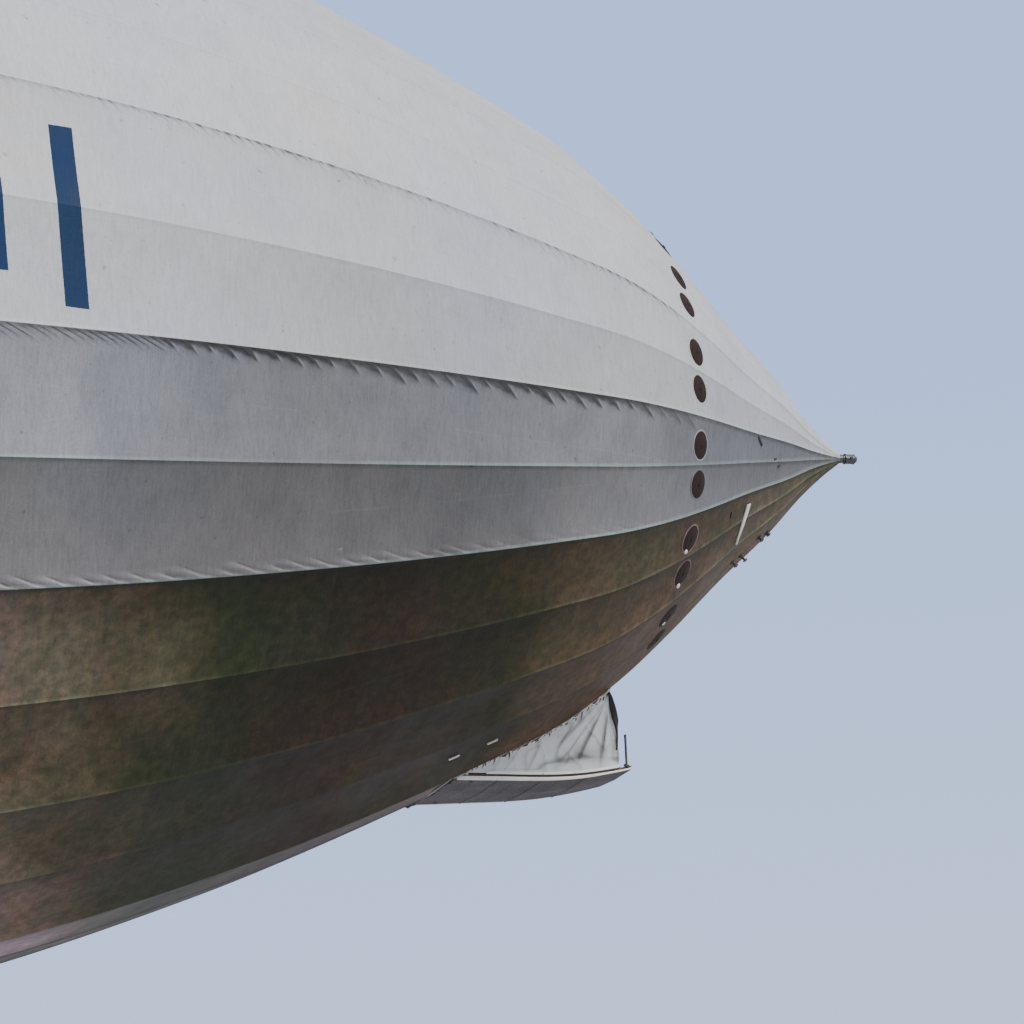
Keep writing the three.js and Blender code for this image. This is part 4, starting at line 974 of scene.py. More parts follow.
# ------------------------------------------------------------------ the bow: fittings
def bow_fittings():
    # a pale batten that tapers down the nose cover, on both bows
    strip = Parts()
    for side in (1, -1):
        rows = []
        for k, (st, ang, w) in enumerate([(3.50, 215.2, .017), (3.53, 219, .016), (3.57, 224, .0125), (3.61, 229, .008), (3.64, 232.0, .004)]):
            a = ang if side < 0 else 540 - ang
            p, n, f, d = frame_at(st, a, 0.0012)
            rows.append([p - f * w / 2, p - f * w / 2 + n * .003, p + f * w / 2 + n * .003, p + f * w / 2])
        strip.add(np.array(rows).reshape(-1, 3), [list(x) for x in grid_faces(5, 4, loop_v=True)] + [[3, 2, 1, 0], [16, 17, 18, 19]])
    strip.build("bow_battens", MAT_RAIL, slot="rail_paint")

    # dark slabs for the hand holes, as painted shade of the openings; eyes and short pegs of the mooring gear
    dark, bright, pegs = Parts(), Parts(), Parts()
    for side in (1, -1):
        for st, ang, l, w, tip in ((4.12, 216.3, .015, .005, 0.0), (3.25, 188.8, .030, .0055, -.90), (2.62, 196.5, .012, .0035, 1.45), (2.45, 200.5, .012, .0035, 1.45)):
            p, n, f, d = frame_at(st, ang if side < 0 else 540 - ang, 0.0004)
            d = d if side < 0 else -d
            e = d * math.cos(tip) + f * math.sin(tip)
            dark.slab(p, (w, l, .003), (np.cross(n, e), e, n))
        for st, ang, r in ((5.71, 242.9, .0062), (5.73, 220.1, .0058), (5.70, 230.0, .0062)):
            p, n, f, d = frame_at(st, ang if side < 0 else 540 - ang, 0.0)
            bright.spin(p, n, [(r * .5, -.002), (r, 0), (r, .0022), (r * .72, .0040), (r * .25, .0048)], 20)
        for st, ang, l, w in ((10.17, 251.4, .030, .0044), (11.21, 250.9, .030, .0044)):
            p, n, f, d = frame_at(st, ang if side < 0 else 540 - ang, 0.0012)
            bright.slab(p, (l, w, .0036), (f, d, n))
        for st, ang, l in ((3.35, 248.0, .016), (3.05, 250.0, .019), (2.55, 246.0, .013), (2.2, 252.0, .010)):
            p, n, f, d = frame_at(st, ang if side < 0 else 540 - ang, 0.0)
            pegs.rod(p - n * .004, p + n * l, .0030, 12).rod(p + n * (l - .003) - f * .007, p + n * (l - .003) + f * .007, .0022, 10)
            pegs.spin(p, n, [(.007, -.001), (.007, .0012), (.0045, .0024)], 20)
    dark.build("bow_hand_holes", MAT_DARK)
    bright.build("bow_eye_plates", MAT_RAIL)
    pegs.build("bow_cable_pegs", MAT_DARK)

    # the nose: rings and a cross bar on the mooring spindle
    nose = Parts()
    x0 = X(0.35)
    nose.ring((x0 + .0455, 0, 0), (1, 0, 0), [(.0080, -.0015), (.0128, -.0015), (.0118, .0012), (.0080, .0012)], 40)
    sx = x0
    for at, r, w in ((.0530, .0100, .003), (.0575, .0105, .003), (.0615, .0132, .002), (.0845, .0126, .002)):
        nose.ring((sx + at, 0, 0), (1, 0, 0), [(.006, -w / 2), (r, -w / 2), (r, w / 2), (.006, w / 2)], 32)
    nose.rod((sx + .074, -.020, 0), (sx + .074, .020, 0), .003, 14)
    nose.build("nose_fittings", MAT_SPINDLE, slot="spindle_steel")


LOW_SIN, LOW_COS = math.sin(math.radians(78)), math.cos(math.radians(78))
HINGE_X, HINGE_Z = X(10.80), -0.856
LOWERED = math.radians(23.9)
PANEL = [(6.74, 1.09), (8.0, 1.265), (9.8, 1.50), (10.74, 1.62)]


def gang(station, y, z):
    """A point of the gangway, given where it lies when the belly is closed (z from the axis, in metres), let down."""
    x, h = X(station) - HINGE_X, z - HINGE_Z
    c, s = math.cos(LOWERED), math.sin(LOWERED)
    return np.array([HINGE_X + x * c + h * s, y, HINGE_Z - x * s + h * c])


def belly_z(station, y=0.0):
    r = float(hull_r(station)) * M
    t = min(abs(y) / (r * LOW_COS), 1)
    return -r * REEF + (r * REEF - r * LOW_SIN) * t


STATIONS_CAD = [b[0] for b in BOW[:-2]] + [108, 124, 140, 156, 170, 182, 193, 203, 211, 217, 221, 222.6]
RADII_CAD = [float(hull_r(s)) for s in STATIONS_CAD]


def hull_r_cad(x):
    """The radius between stations where the frames stand, in straight runs."""
    return np.interp(x, STATIONS_CAD, RADII_CAD)


def gang_half(station):
    """Half the width of the gangway's panel."""
    return np.interp(station, [p[0] for p in PANEL], [p[1] for p in PANEL]) * M


# ------------------------------------------------------------------ canvas screens
SCREEN = [(6.72, 6.46, -8.00), (8.0, 7.85, -8.14), (9.0, 8.95, -8.24), (9.8, 9.78, -8.30), (10.22, 10.22, -8.38), (10.52, 10.52, -8.46)]


def screens():
    tops = np.array([s[0] for s in SCREEN])
    nu, nv = 150, 44
    for name, nodes, side in (("canvas_screen_port", "gangway_screen_port", 1), ("canvas_screen_starboard", "gangway_screen_starboard", -1)):
        s = np.interp(np.linspace(0, 1, nu), np.linspace(0, 1, nu), np.linspace(tops[0], tops[-1], nu))
        foot = np.interp(s, tops, [q[1] for q in SCREEN])
        rt, rb = hull_r(s) * M, hull_r(foot) * M
        top = np.stack([X(s), side * (rt * LOW_COS - .0012), -rt * LOW_SIN - .0006], 1)
        # the foot hangs just inside the kerb of the lowered gangway
        sill = np.array([gang(f, 0, belly_z(f, float(gang_half(f))) + .0165) for f in np.linspace(10.78, 6.76, 80)])
        zk = np.interp(X(foot), sill[:, 0], sill[:, 2])
        zf = np.minimum(np.interp(s, tops, [q[2] for q in SCREEN]) * M, zk)
        zf = np.minimum(np.where(s > 10.0, zk, zf), top[:, 2] - .0035)
        xf = X(foot)
        bot = np.stack([xf, side * (rb * LOW_COS - .0150 - .004 * smooth(10.2, 8.5, s)), zf], 1)
        run = np.concatenate([[0], np.cumsum(np.linalg.norm(np.diff(top, axis=0), axis=1))])
        # laced top: the edge droops in uneven scallops between the lacing points
        pitch = 0.0300
        count = int(run[-1] / pitch)
        knots = np.concatenate([[0], (np.arange(1, count) + .28 * (rand(np.arange(1, count), 5) - .5)) * run[-1] / count, [run[-1]]])
        seg = np.clip(np.searchsorted(knots, run, side="right") - 1, 0, count - 1)
        part = (run - knots[seg]) / (knots[seg + 1] - knots[seg])
        deep = (.0030 + .0060 * rand(seg, 7)) * np.clip(smooth(0, .12, run[-1] - run), .15, 1)
        droop = deep * np.sin(np.pi * part) ** 0.8
        v = np.linspace(0, 1, nv)
        p = top[:, None, :] * (1 - v)[None, :, None] + bot[:, None, :] * v[None, :, None]
        drop = np.linalg.norm(bot - top, axis=1)
        p[..., 2] -= (droop[:, None] * np.clip(1 - v * 4, 0, 1)[None]) * np.minimum(drop / .05, 1)[:, None]
        size = np.minimum(drop / 0.10, 1.0)[:, None]
        a = p[..., 0] - X(8.0)
        b = p[..., 2] + 0.72
        bell = np.sin(np.pi * np.clip(v, 0, 1))[None] ** 0.6
        # sharp folds fan down and aft from the front top corner, softer ones from each lacing point
        ax, az = a - (top[0, 0] - X(8.0)), b - (top[0, 2] + .72)
        far = np.hypot(ax, az) + 1e-6
        turn = np.arctan2(-az, -ax)
        fan = 1 - np.abs(2 * ((turn * 3.1 + .20 * noise(far * 20, 1.0, side, 35)) % 1) - 1)
        fan = fan ** 1.6 * np.exp(-((far - .11) / .12) ** 2) * (far > .012)
        q1 = 1 - np.abs(noise((a * .80 - b * .60) * 30, (a * .62 + b * .80) * 6.0, side * 3.7, 31)) * 1.6
        q2 = 1 - np.abs(noise((a * .95 + b * .30) * 52 + 4, (b * .9 - a * .3) * 20, side * 1.3, 32)) * 1.6
        q3 = noise(a * 15, b * 17, 2.2 * side, 33)
        pull = np.exp(-(v / .20) ** 2)[None] * (np.cos(2 * np.pi * part))[:, None]
        d = (.0125 * fan + .0070 * np.clip(q1, 0, 1) ** 2 + .0046 * np.clip(q2, 0, 1) ** 2 + .0052 * q3) * bell * size + .0034 * pull * size
        d = np.clip(d - .0050 * bell * size, -0.0110, 0.0100)
        p[..., 1] += side * d
        inside = -side * (p[..., 1] - side * (rt * LOW_COS)[:, None] * (1 - v)[None] - bot[:, 1][:, None] * v[None])
        # fold: painted shade in the hollows of the folds, for the canvas
        fold = (np.clip((np.clip(q1, 0, 1) ** 2 - .62) / .38, 0, 1) * .50 + np.clip((np.clip(q2, 0, 1) ** 2 - .70) / .3, 0, 1) * .35
                + np.clip((fan - .45) / .55, 0, 1) * 1.0) * bell * size
        # painted shade of long low wrinkles in the slack of the foot, in colour only
        q4 = 1 - np.abs(noise(a * 9.0, b * 62, side * 2.9, 37)) * 1.7
        slack = np.clip((np.clip(q4, 0, 1) ** 2 - .50) / .5, 0, 1) * smooth(.58, .74, v)[None] * (1 - smooth(.93, .99, v))[None] * size
        fold = fold + .62 * slack
        shade = .40 * np.exp(-(((a - .065) / .045) ** 2) - ((b + .060) / .022) ** 2)      # painted shade: a darker patch on the cloth
        fold = np.clip(fold + shade * size, 0, 1)
        fold = fold * (1 - np.exp(-v / .05))[None]
        thick = 0.0012
        back = p.copy()
        back[..., 1] -= side * thick
        rows = np.concatenate([p, back[:, ::-1]], axis=1)          # a closed loop round each station
        n2 = rows.shape[1]
        verts = rows.reshape(-1, 3)
        faces = [list(x) for x in grid_faces(nu, n2, loop_v=True)]
        for k in range(nv - 1):        # both ends, a strip of quads
            faces.append([k, k + 1, n2 - 2 - k, n2 - 1 - k])
            e = (nu - 1) * n2
            faces.append([e + k + 1, e + k, e + n2 - 1 - k, e + n2 - 2 - k])
        obj = new_object(name, verts, faces, MAT_CANVAS)
        bm = bmesh.new()
        bm.from_mesh(obj.data)
        bmesh.ops.recalc_face_normals(bm, faces=bm.faces)
        bm.to_mesh(obj.data)
        bm.free()
        both = np.concatenate([fold, fold[:, ::-1]], axis=1).ravel().astype(np.float32)
        obj.data.attributes.new("fold", "FLOAT", "POINT").data.foreach_set("value", both)
        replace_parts(obj, nodes)
        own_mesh(obj)

        # bolt rope along the scalloped top, hem along the foot, and the front edge's leather strap
        rope, hem, strap, tails = Parts(), Parts(), Parts(), Parts()
        edge = p[:, 0, :] + [0, side * .0006, 0]
        rope.path(edge[::2], .0016, 8)
        # ends of the lacing and torn edge threads hang over the cloth
        for k in range(34):
            at = run[-1] * (k + .5 + .7 * (rand(k, 71) - .5)) / 34
            c = np.array([np.interp(at, run, p[:, 1, j]) for j in range(3)]) + [0, side * .0024, .0015]
            size_here = float(np.interp(at, run, drop))
            long = min(.0035 + .0170 * rand(k, 72) ** 2.2, size_here * .5)
            sway = np.array([-.0015 - .0045 * rand(k, 73), 0, -long])
            q = np.array([c, c + sway * .45 + [.0008, 0, 0], c + sway])
            w0 = .0010 + .0012 * rand(k, 74)
            tails.add(np.concatenate([[m - [wk, side * .0005, 0], m + [wk, -side * .0005, 0], m + [wk, side * .0005, 0], m + [-wk, side * .0005, 0]]
                                      for m, wk in zip(q, (w0, w0 * .8, w0 * .25))]),
                      [list(f) for f in grid_faces(3, 4, loop_v=True)] + [[3, 2, 1, 0], [8, 9, 10, 11]])
        foot_line = p[:, -1, :] + [0, side * .0007, .0006]
        keep = [k for k in range(0, nu, 2) if s[k] < 10.0]
        beam(hem, foot_line[keep], (0, 1, 0), (0, 0, 1), .0036, .0062)
        front = p[0, :, :]
        hem.path(front[::5] + [.0014, side * .0004, 0], .0016, 8)
        for k in range(len(knots)):
            c = np.array([np.interp(knots[k], run, top[:, j]) for j in range(3)])
            if k % 2:
                continue
            rope.ring(c + np.array([0, side * .0010, -.0042]), (0, side, 0), [(.0013, -.0006), (.0027, -.0006), (.0027, .0008), (.0013, .0008)], 14)
            rope.path([c + [-.002, side * .0014, -.0042], c + [0, side * .0030, .0006], c + [.002, side * .0014, -.0042]], .0009, 6)
        line, wide = [], []
        for q in np.linspace(.04, .80, 18):
            c = np.array([np.interp(q, v, front[:, j]) for j in range(3)])
            line.append(c + [-.004 + .010 * math.sin(q * 4.2), side * .0040, 0])
            wide.append(float(np.interp(q, [.04, .12, .24, .40, .50, .80], [.006, .0120, .0170, .0155, .0060, .0036])))
        rows = []
        for c, w in zip(line, wide):
            for dx, dy in ((-1, 0), (-.6, .55), (.6, .55), (1, 0), (.6, -.55), (-.6, -.55)):
                rows.append(c + [dx * w / 2, side * dy * .0050, 0])
        strap.add(np.array(rows), [list(f) for f in grid_faces(len(line), 6, loop_v=True)] + [list(range(6)), [(len(line) - 1) * 6 + i for i in range(6)][::-1]])
        for k, (part, mat, tag) in enumerate(((rope, MAT_RAIL, "_bolt_rope"), (hem, MAT_RAIL, "_hem"), (strap, MAT_LEATHER, "_strap"), (tails, MAT_KERB, "_lacing_ends"))):
            q = part.build(name + tag, mat, sharp=(0 if k == 0 else 40))
            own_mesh(q)


# ------------------------------------------------------------------ the doorway and the gangway
def doorway():
    rim = Parts()
    st = np.linspace(DOOR[0], DOOR[1], 30)
    for side in (1, -1):
        r = hull_r(st) * M
        y = side * (r * LOW_COS - .0040)
        z = -r * LOW_SIN + .0030
        beam(rim, np.stack([X(st), y, z], 1), (0, 1, 0), (0, 0, 1), .0034, .0125)
        # the dark batten that the screens are laced to hangs just below the edge
        low = st[(st > 6.74) & (st < 10.2)]
        rl = hull_r(low) * M
        batten = Parts()
        deep = .0105 * smooth(10.2, 9.6, low) + .002
        pts = np.stack([X(low), side * (rl * LOW_COS - .0085), -rl * LOW_SIN - deep / 2 + .001], 1)
        v = np.stack([pts + np.array([0, a * .0016, 0]) + np.array([0, 0, 1.0]) * (b * deep / 2)[:, None] for a, b in ((-1, -1), (1, -1), (1, 1), (-1, 1))], axis=1)
        batten.add(v.reshape(-1, 3), [list(f) for f in grid_faces(len(low), 4, loop_v=True)] + [[3, 2, 1, 0], [(len(low) - 1) * 4 + i for i in range(4)]])
        batten.build("lacing_batten_" + ("port" if side > 0 else "starboard"), MAT_KERB)
    for s0, dx in ((DOOR[0] - .02, 0), (DOOR[1] + .03, 0)):
        ys = np.linspace(-1, 1, 21)
        r = float(hull_r(s0)) * M
        pts = np.stack([np.full(21, X(s0)), ys * (r * LOW_COS - .0040),
                        -r * REEF + (r * REEF - r * LOW_SIN) * np.abs(ys) + .0062], 1)
        beam(rim, pts, (1, 0, 0), (0, 0, 1), .0032, .0125)
    rim.build("doorway_rim", MAT_NOSE, slot="nose_metal")

    # what shows inside: ring frames and longitudinals, as triangular lattice girders
    inside = Parts()
    for s0 in (9.8, 12.2, 16.0):
        r = float(hull_r(s0)) * M * 0.984 - .0185
        lo, hi = ((-66, 246) if s0 < 10 else (-90, 270))
        ks = [k for k in range(31) if lo <= -90 + 12 * k <= hi]
        for ring_r, dx in ((r, -.02), (r, .02), (r - .05, 0)):
            pts = [(X(s0) + dx, ring_r * math.cos(math.radians(-90 + 12 * k)), ring_r * math.sin(math.radians(-90 + 12 * k))) for k in ks]
            for p, q in zip(pts[:-1], pts[1:]):
                inside.rod(p, q, .0032, 6)
        for k in range(60):
            d0 = -90 + 6 * k
            if not lo <= d0 <= hi - 3:
                continue
            a0, a1 = math.radians(d0), math.radians(d0 + 3)
            rr = r * (1 - .0055 * (k % 2))
            inside.rod((X(s0) + (.02 if k % 2 else -.02), rr * math.cos(a0), rr * math.sin(a0)),
                       (X(s0), (r - .05) * math.cos(a1), (r - .05) * math.sin(a1)), .0018, 5)
    for k in range(15):
        a = math.radians(90 + 24 * k)
        for s0, s1 in ((6.5, 9.8), (9.8, 12.2), (12.2, 16.0)):
            if k in (7, 8) and s0 < 12:
                continue
            r0, r1 = float(hull_r(s0)) * M - .019, float(hull_r(s1)) * M - .019
            inside.rod((X(s0), r0 * math.cos(a), r0 * math.sin(a)), (X(s1), r1 * math.cos(a), r1 * math.sin(a)), .0036, 6)
    inside.build("bow_girders", MAT_ALU, sharp=0)


def gangway():
    global MAT_BELLY
    m = Mat("gangway_underside", Metallic=0.05, Specular_IOR_Level=0.3)
    big, fine = m.noise(7, 6, 0.65), m.noise(1.0, 4, 0.6, m.scaled(160, 90, 90))
    base = m.ramp(big, [(0.3, (0.046, 0.037, 0.041)), (0.5, (0.084, 0.072, 0.078)), (0.7, (0.150, 0.134, 0.140))])
    base = m.mix(1.0, base, m.ramp(fine, [(0.3, 0.66), (0.7, 1.30)]), "MULTIPLY")
    MAT_BELLY = m.set(Base_Color=base, Roughness=m.ramp(big, [(0.3, 0.6), (0.7, 0.8)]), Normal=m.bump(fine, 0.35, 0.002))
    fore = np.array([math.cos(LOWERED), 0, -math.sin(LOWERED)])
    up = np.array([math.sin(LOWERED), 0, math.cos(LOWERED)])
    cross = np.array([0, 1.0, 0])

    # the panel: cloth over cross ribs, part of the hull's belly when it is up
    st = np.linspace(6.74, 10.74, 121)
    ys = np.linspace(-1, 1, 41)
    outer = np.array([[gang(s, y * gang_half(s), belly_z(s, y * gang_half(s))) for y in ys] for s in st])
    sag = .0016 * np.abs(np.sin(np.pi * (st - 6.74) / .50)) ** .7
    lift = sag[:, None] * (1 - np.abs(ys[None]) ** 6)
    lift = lift + .0010 * noise(st[:, None] * 1.6, ys[None] * 2.2, 1.5, 77)
    outer = outer + up * np.clip(lift, 0, .0028)[..., None]
    inner = np.array([[gang(s, y * gang_half(s) * .998, belly_z(s, y * gang_half(s)) + .006) for y in ys] for s in st])
    rows = np.concatenate([outer, inner[:, ::-1]], axis=1)
    n2 = rows.shape[1]
    faces = [list(f) for f in grid_faces(len(st), n2, loop_v=True)]
    for k in range(len(ys) - 1):
        faces.append([k, k + 1, n2 - 2 - k, n2 - 1 - k])
        e = (len(st) - 1) * n2
        faces.append([e + k + 1, e + k, e + n2 - 1 - k, e + n2 - 2 - k])
    panel = new_object("gangway_belly_panel", rows.reshape(-1, 3), faces, MAT_BELLY, "gangway", True)
    bm = bmesh.new()
    bm.from_mesh(panel.data)
    bmesh.ops.recalc_face_normals(bm, faces=bm.faces)
    bm.to_mesh(panel.data)
    bm.free()
    sharpen(panel, 45)
    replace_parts(panel, "gangway_panel")

    ribs, cleats, metal = Parts(), Parts(), Parts()
    for s in (7.74, 8.74, 9.74):          # doubled seams across the underside
        half = float(gang_half(s))
        yy = np.linspace(-half + .003, half - .003, 13)
        pts = np.array([gang(s, y, belly_z(s, y) - .0002) for y in yy])
        beam(ribs, pts, fore, up, .0050, .0014)
    ribs.build("gangway_seam_battens", MAT_BELLY, body="gangway", slot="gangway_cover")

    # white edge rails and dark kerbs, sprung to the belly's curve
    for side, name in ((1, "port"), (-1, "starboard")):
        line = np.linspace(6.745, 10.735, 60)
        rail, kerb = Parts(), Parts()
        pts = np.array([gang(s, side * (gang_half(s) - .0020), belly_z(s, gang_half(s)) + .0035) for s in line])
        taper = np.interp(line, [6.74, 8.0, 10.74], [.0052, .0080, .0106])
        c = [(-.5, -.42), (-.42, -.5), (.42, -.5), (.5, -.42), (.5, .42), (.42, .5), (-.42, .5), (-.5, .42)]
        v = np.concatenate([(pts + cross * a * .0042)[:, None] + (up[None] * (taper * b)[:, None])[:, None] for a, b in c], axis=1)
        rail.add(v.reshape(-1, 3), [list(f) for f in grid_faces(60, 8, loop_v=True)] + [list(range(8))[::-1], [59 * 8 + i for i in range(8)]])
        line = np.linspace(7.02, 10.60, 60)
        pts = np.array([gang(s, side * (gang_half(s) - .0040), belly_z(s, gang_half(s)) + .0132) for s in line])
        tall = np.interp(line, [7.02, 7.4, 10.2, 10.6], [.0070, .0080, .0100, .0060])
        v = np.concatenate([(pts + cross * a * .0042)[:, None] + (up[None] * (tall * b)[:, None])[:, None] for a, b in c], axis=1)
        kerb.add(v.reshape(-1, 3), [list(f) for f in grid_faces(60, 8, loop_v=True)] + [list(range(8))[::-1], [59 * 8 + i for i in range(8)]])
        for s in np.linspace(7.1, 10.4, 12):
            kerb.slab(gang(s, side * (gang_half(s) - .0040), belly_z(s, gang_half(s)) + .0120), (.006, .0036, .016), (fore, cross, up))
        base = gang(6.86, side * (gang_half(6.86) - .0040), belly_z(6.86, gang_half(6.86)) + .010)
        head = base + [0, 0, .0760]
        kerb.rod(base, head, .0028, 14)
        kerb.spin(head, (0, 0, 1), [(.0012, -.003), (.0034, -.001), (.0034, .0012), (.0015, .0030)], 16)
        kerb.slab(base + [0, 0, .004], (.012, .009, .006), (fore, cross, up))
        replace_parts(rail.build("gangway_edge_rail_" + name, MAT_RAIL, body="gangway", slot="rail_paint"), "gangway_rail_" + name)
        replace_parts(kerb.build("gangway_edge_kerb_" + name, MAT_KERB, body="gangway", slot="kerb_paint"), "gangway_kerb_" + name)

    for s in np.linspace(6.9, 10.6, 32):
        half = float(gang_half(s)) - .012
        z = max(belly_z(s, 0), float(hull_r_cad(s)) * -M * REEF) + .0108
        cleats.slab(gang(s, 0, z), (.0045, 2 * half, .0018), (fore, cross, up))
    cleats.build("gangway_cleats", MAT_DECK, body="gangway", slot="deck_wood")
    for y in (-.13, -.045, .045, .13):
        metal.slab(gang(10.55, y, belly_z(10.55, 0) + .0155), (.05, .012, .0024), (fore, cross, up))
        metal.rod((HINGE_X, y - .009, HINGE_Z), (HINGE_X, y + .009, HINGE_Z), .0052, 16)
    metal.build("gangway_fittings", MAT_DARK, body="gangway", slot="kerb_paint")


# ------------------------------------------------------------------ engine cars
CARS = [("forward_starboard", 66, 242), ("forward_port", 66, 298), ("aft_starboard", 134, 242), ("aft_port", 134, 298), ("centre", 161, 270)]
CAR_X = np.array([-3.4, -3.0, -1.8, 0, 2.0, 3.0, 3.45])
CAR_W = np.array([.26, .48, .94, 1.10, 1.04, .80, .42])
CAR_H = np.array([.26, .58, 1.14, 1.35, 1.28, .98, .52])


def along_table(x, xs, ys):
    m = slopes(xs, ys)
    i = np.clip(np.searchsorted(xs, x, side="right") - 1, 0, len(xs) - 2)
    h = xs[i + 1] - xs[i]
    t = (x - xs[i]) / h
    return ys[i] * (1 + 2 * t) * (1 - t) ** 2 + h * m[i] * t * (1 - t) ** 2 + ys[i + 1] * t * t * (3 - 2 * t) + h * m[i + 1] * t * t * (t - 1)


def car_shell_mesh():
    n = 48
    ang = (np.arange(n) + .5) * 2 * math.pi / n
    xs = np.concatenate([np.linspace(-3.4, 3.38, 44), [3.43, 3.45]])
    w, h = along_table(xs, CAR_X, CAR_W), along_table(xs, CAR_X, CAR_H)
    w[-1], h[-1] = w[-1] * .93, h[-1] * .93
    outer = np.stack([np.repeat(xs[:, None], n, 1), w[:, None] * np.cos(ang), h[:, None] * np.sin(ang)], -1)
    xi = np.linspace(3.40, -3.0, 20)
    wi, hi = along_table(xi, CAR_X, CAR_W) - .085, along_table(xi, CAR_X, CAR_H) - .085
    wi[0], hi[0] = .26, .32
    wi[1], hi[1] = .30, .36
    inner = np.stack([np.repeat(xi[:, None], n, 1), np.maximum(wi, .05)[:, None] * np.cos(ang), np.maximum(hi, .05)[:, None] * np.sin(ang)], -1)
    rows = np.concatenate([outer, inner]) * M
    # this loop adds nothing; the raised rings where the plates join are made with the car's trim
    for k, x in enumerate(xs):
        pass
    faces = [list(f) for f in grid_faces(len(rows), n, loop_v=True)]
    faces += [list(range(n))[::-1], [(len(rows) - 1) * n + i for i in range(n)]]
    mesh = bpy.data.meshes.new("car_shell")
    mesh.from_pydata([tuple(v) for v in rows.reshape(-1, 3)], [], faces)
    bm = bmesh.new()
    bm.from_mesh(mesh)
    bmesh.ops.recalc_face_normals(bm, faces=bm.faces)
    bm.to_mesh(mesh)
    bm.free()
    obj = bpy.data.objects.new("car_shell", mesh)
    bpy.context.scene.collection.objects.link(obj)
    cut = Parts()
    for x0, x1 in ((.9, 1.45), (-.9, -.35)):
        cut.slab(((x0 + x1) / 2 * M, 0, .5 * M), ((x1 - x0) * M, .4, .5 * M), bevel=.008)
    tool = cut.build("car_window_cut", MAT_ALU)
    mod = obj.modifiers.new("cut", "BOOLEAN")
    mod.operation, mod.solver, mod.object = "DIFFERENCE", "EXACT", tool
    bpy.context.view_layer.update()
    done = bpy.data.meshes.new_from_object(obj.evaluated_get(bpy.context.evaluated_depsgraph_get()))
    for o in (obj, tool):
        bpy.data.objects.remove(o)
    done.polygons.foreach_set("use_smooth", np.ones(len(done.polygons), bool))
    done.set_sharp_from_angle(angle=math.radians(32))
    return done


def screw_mesh():
    """A two-bladed airscrew about its own axis, blades up and down."""
    parts, tips = Parts(), []
    table_r = np.array([.05, .3, .55, 1.30, 2.10, 2.45])
    chord = np.array([.20, .25, .34, .42, .34, .10])
    thick = np.array([.17, .15, .12, .08, .05, .022])
    twist = np.array([62, 56, 48, 30, 20, 17.0])
    n = 18
    rr = np.concatenate([np.linspace(.05, 2.2, 22), [2.28, 2.35, 2.40, 2.435, 2.45]])
    c, t, w = np.interp(rr, table_r, chord), np.interp(rr, table_r, thick), np.radians(np.interp(rr, table_r, twist))
    c[-4:] *= [.97, .88, .72, .42]
    th = np.arange(n) * 2 * math.pi / n
    sx, sy = .5 * np.cos(th), .5 * np.sin(th) * (0.62 + 0.38 * np.cos(th))
    for flip in (1, -1):
        rows = []
        for r, cc, tt, ww in zip(rr, c, t, w):
            y, x = sx * cc, sy * tt
            px, py = x * math.cos(ww) - y * math.sin(ww), x * math.sin(ww) + y * math.cos(ww)
            rows.append(np.stack([px, flip * py, np.full(n, flip * r)], 1) * M)
        v = np.concatenate(rows)
        parts.add(v, [list(f) for f in grid_faces(len(rr), n, loop_v=True)] + [list(range(n))[::-1], [(len(rr) - 1) * n + i for i in range(n)]])
    parts.spin((0, 0, 0), (1, 0, 0), [(.0155, .017), (.020, .014), (.020, -.014), (.0195, -.018), (.0175, -.031), (.0125, -.042), (.0065, -.0495)], 32)
    return parts


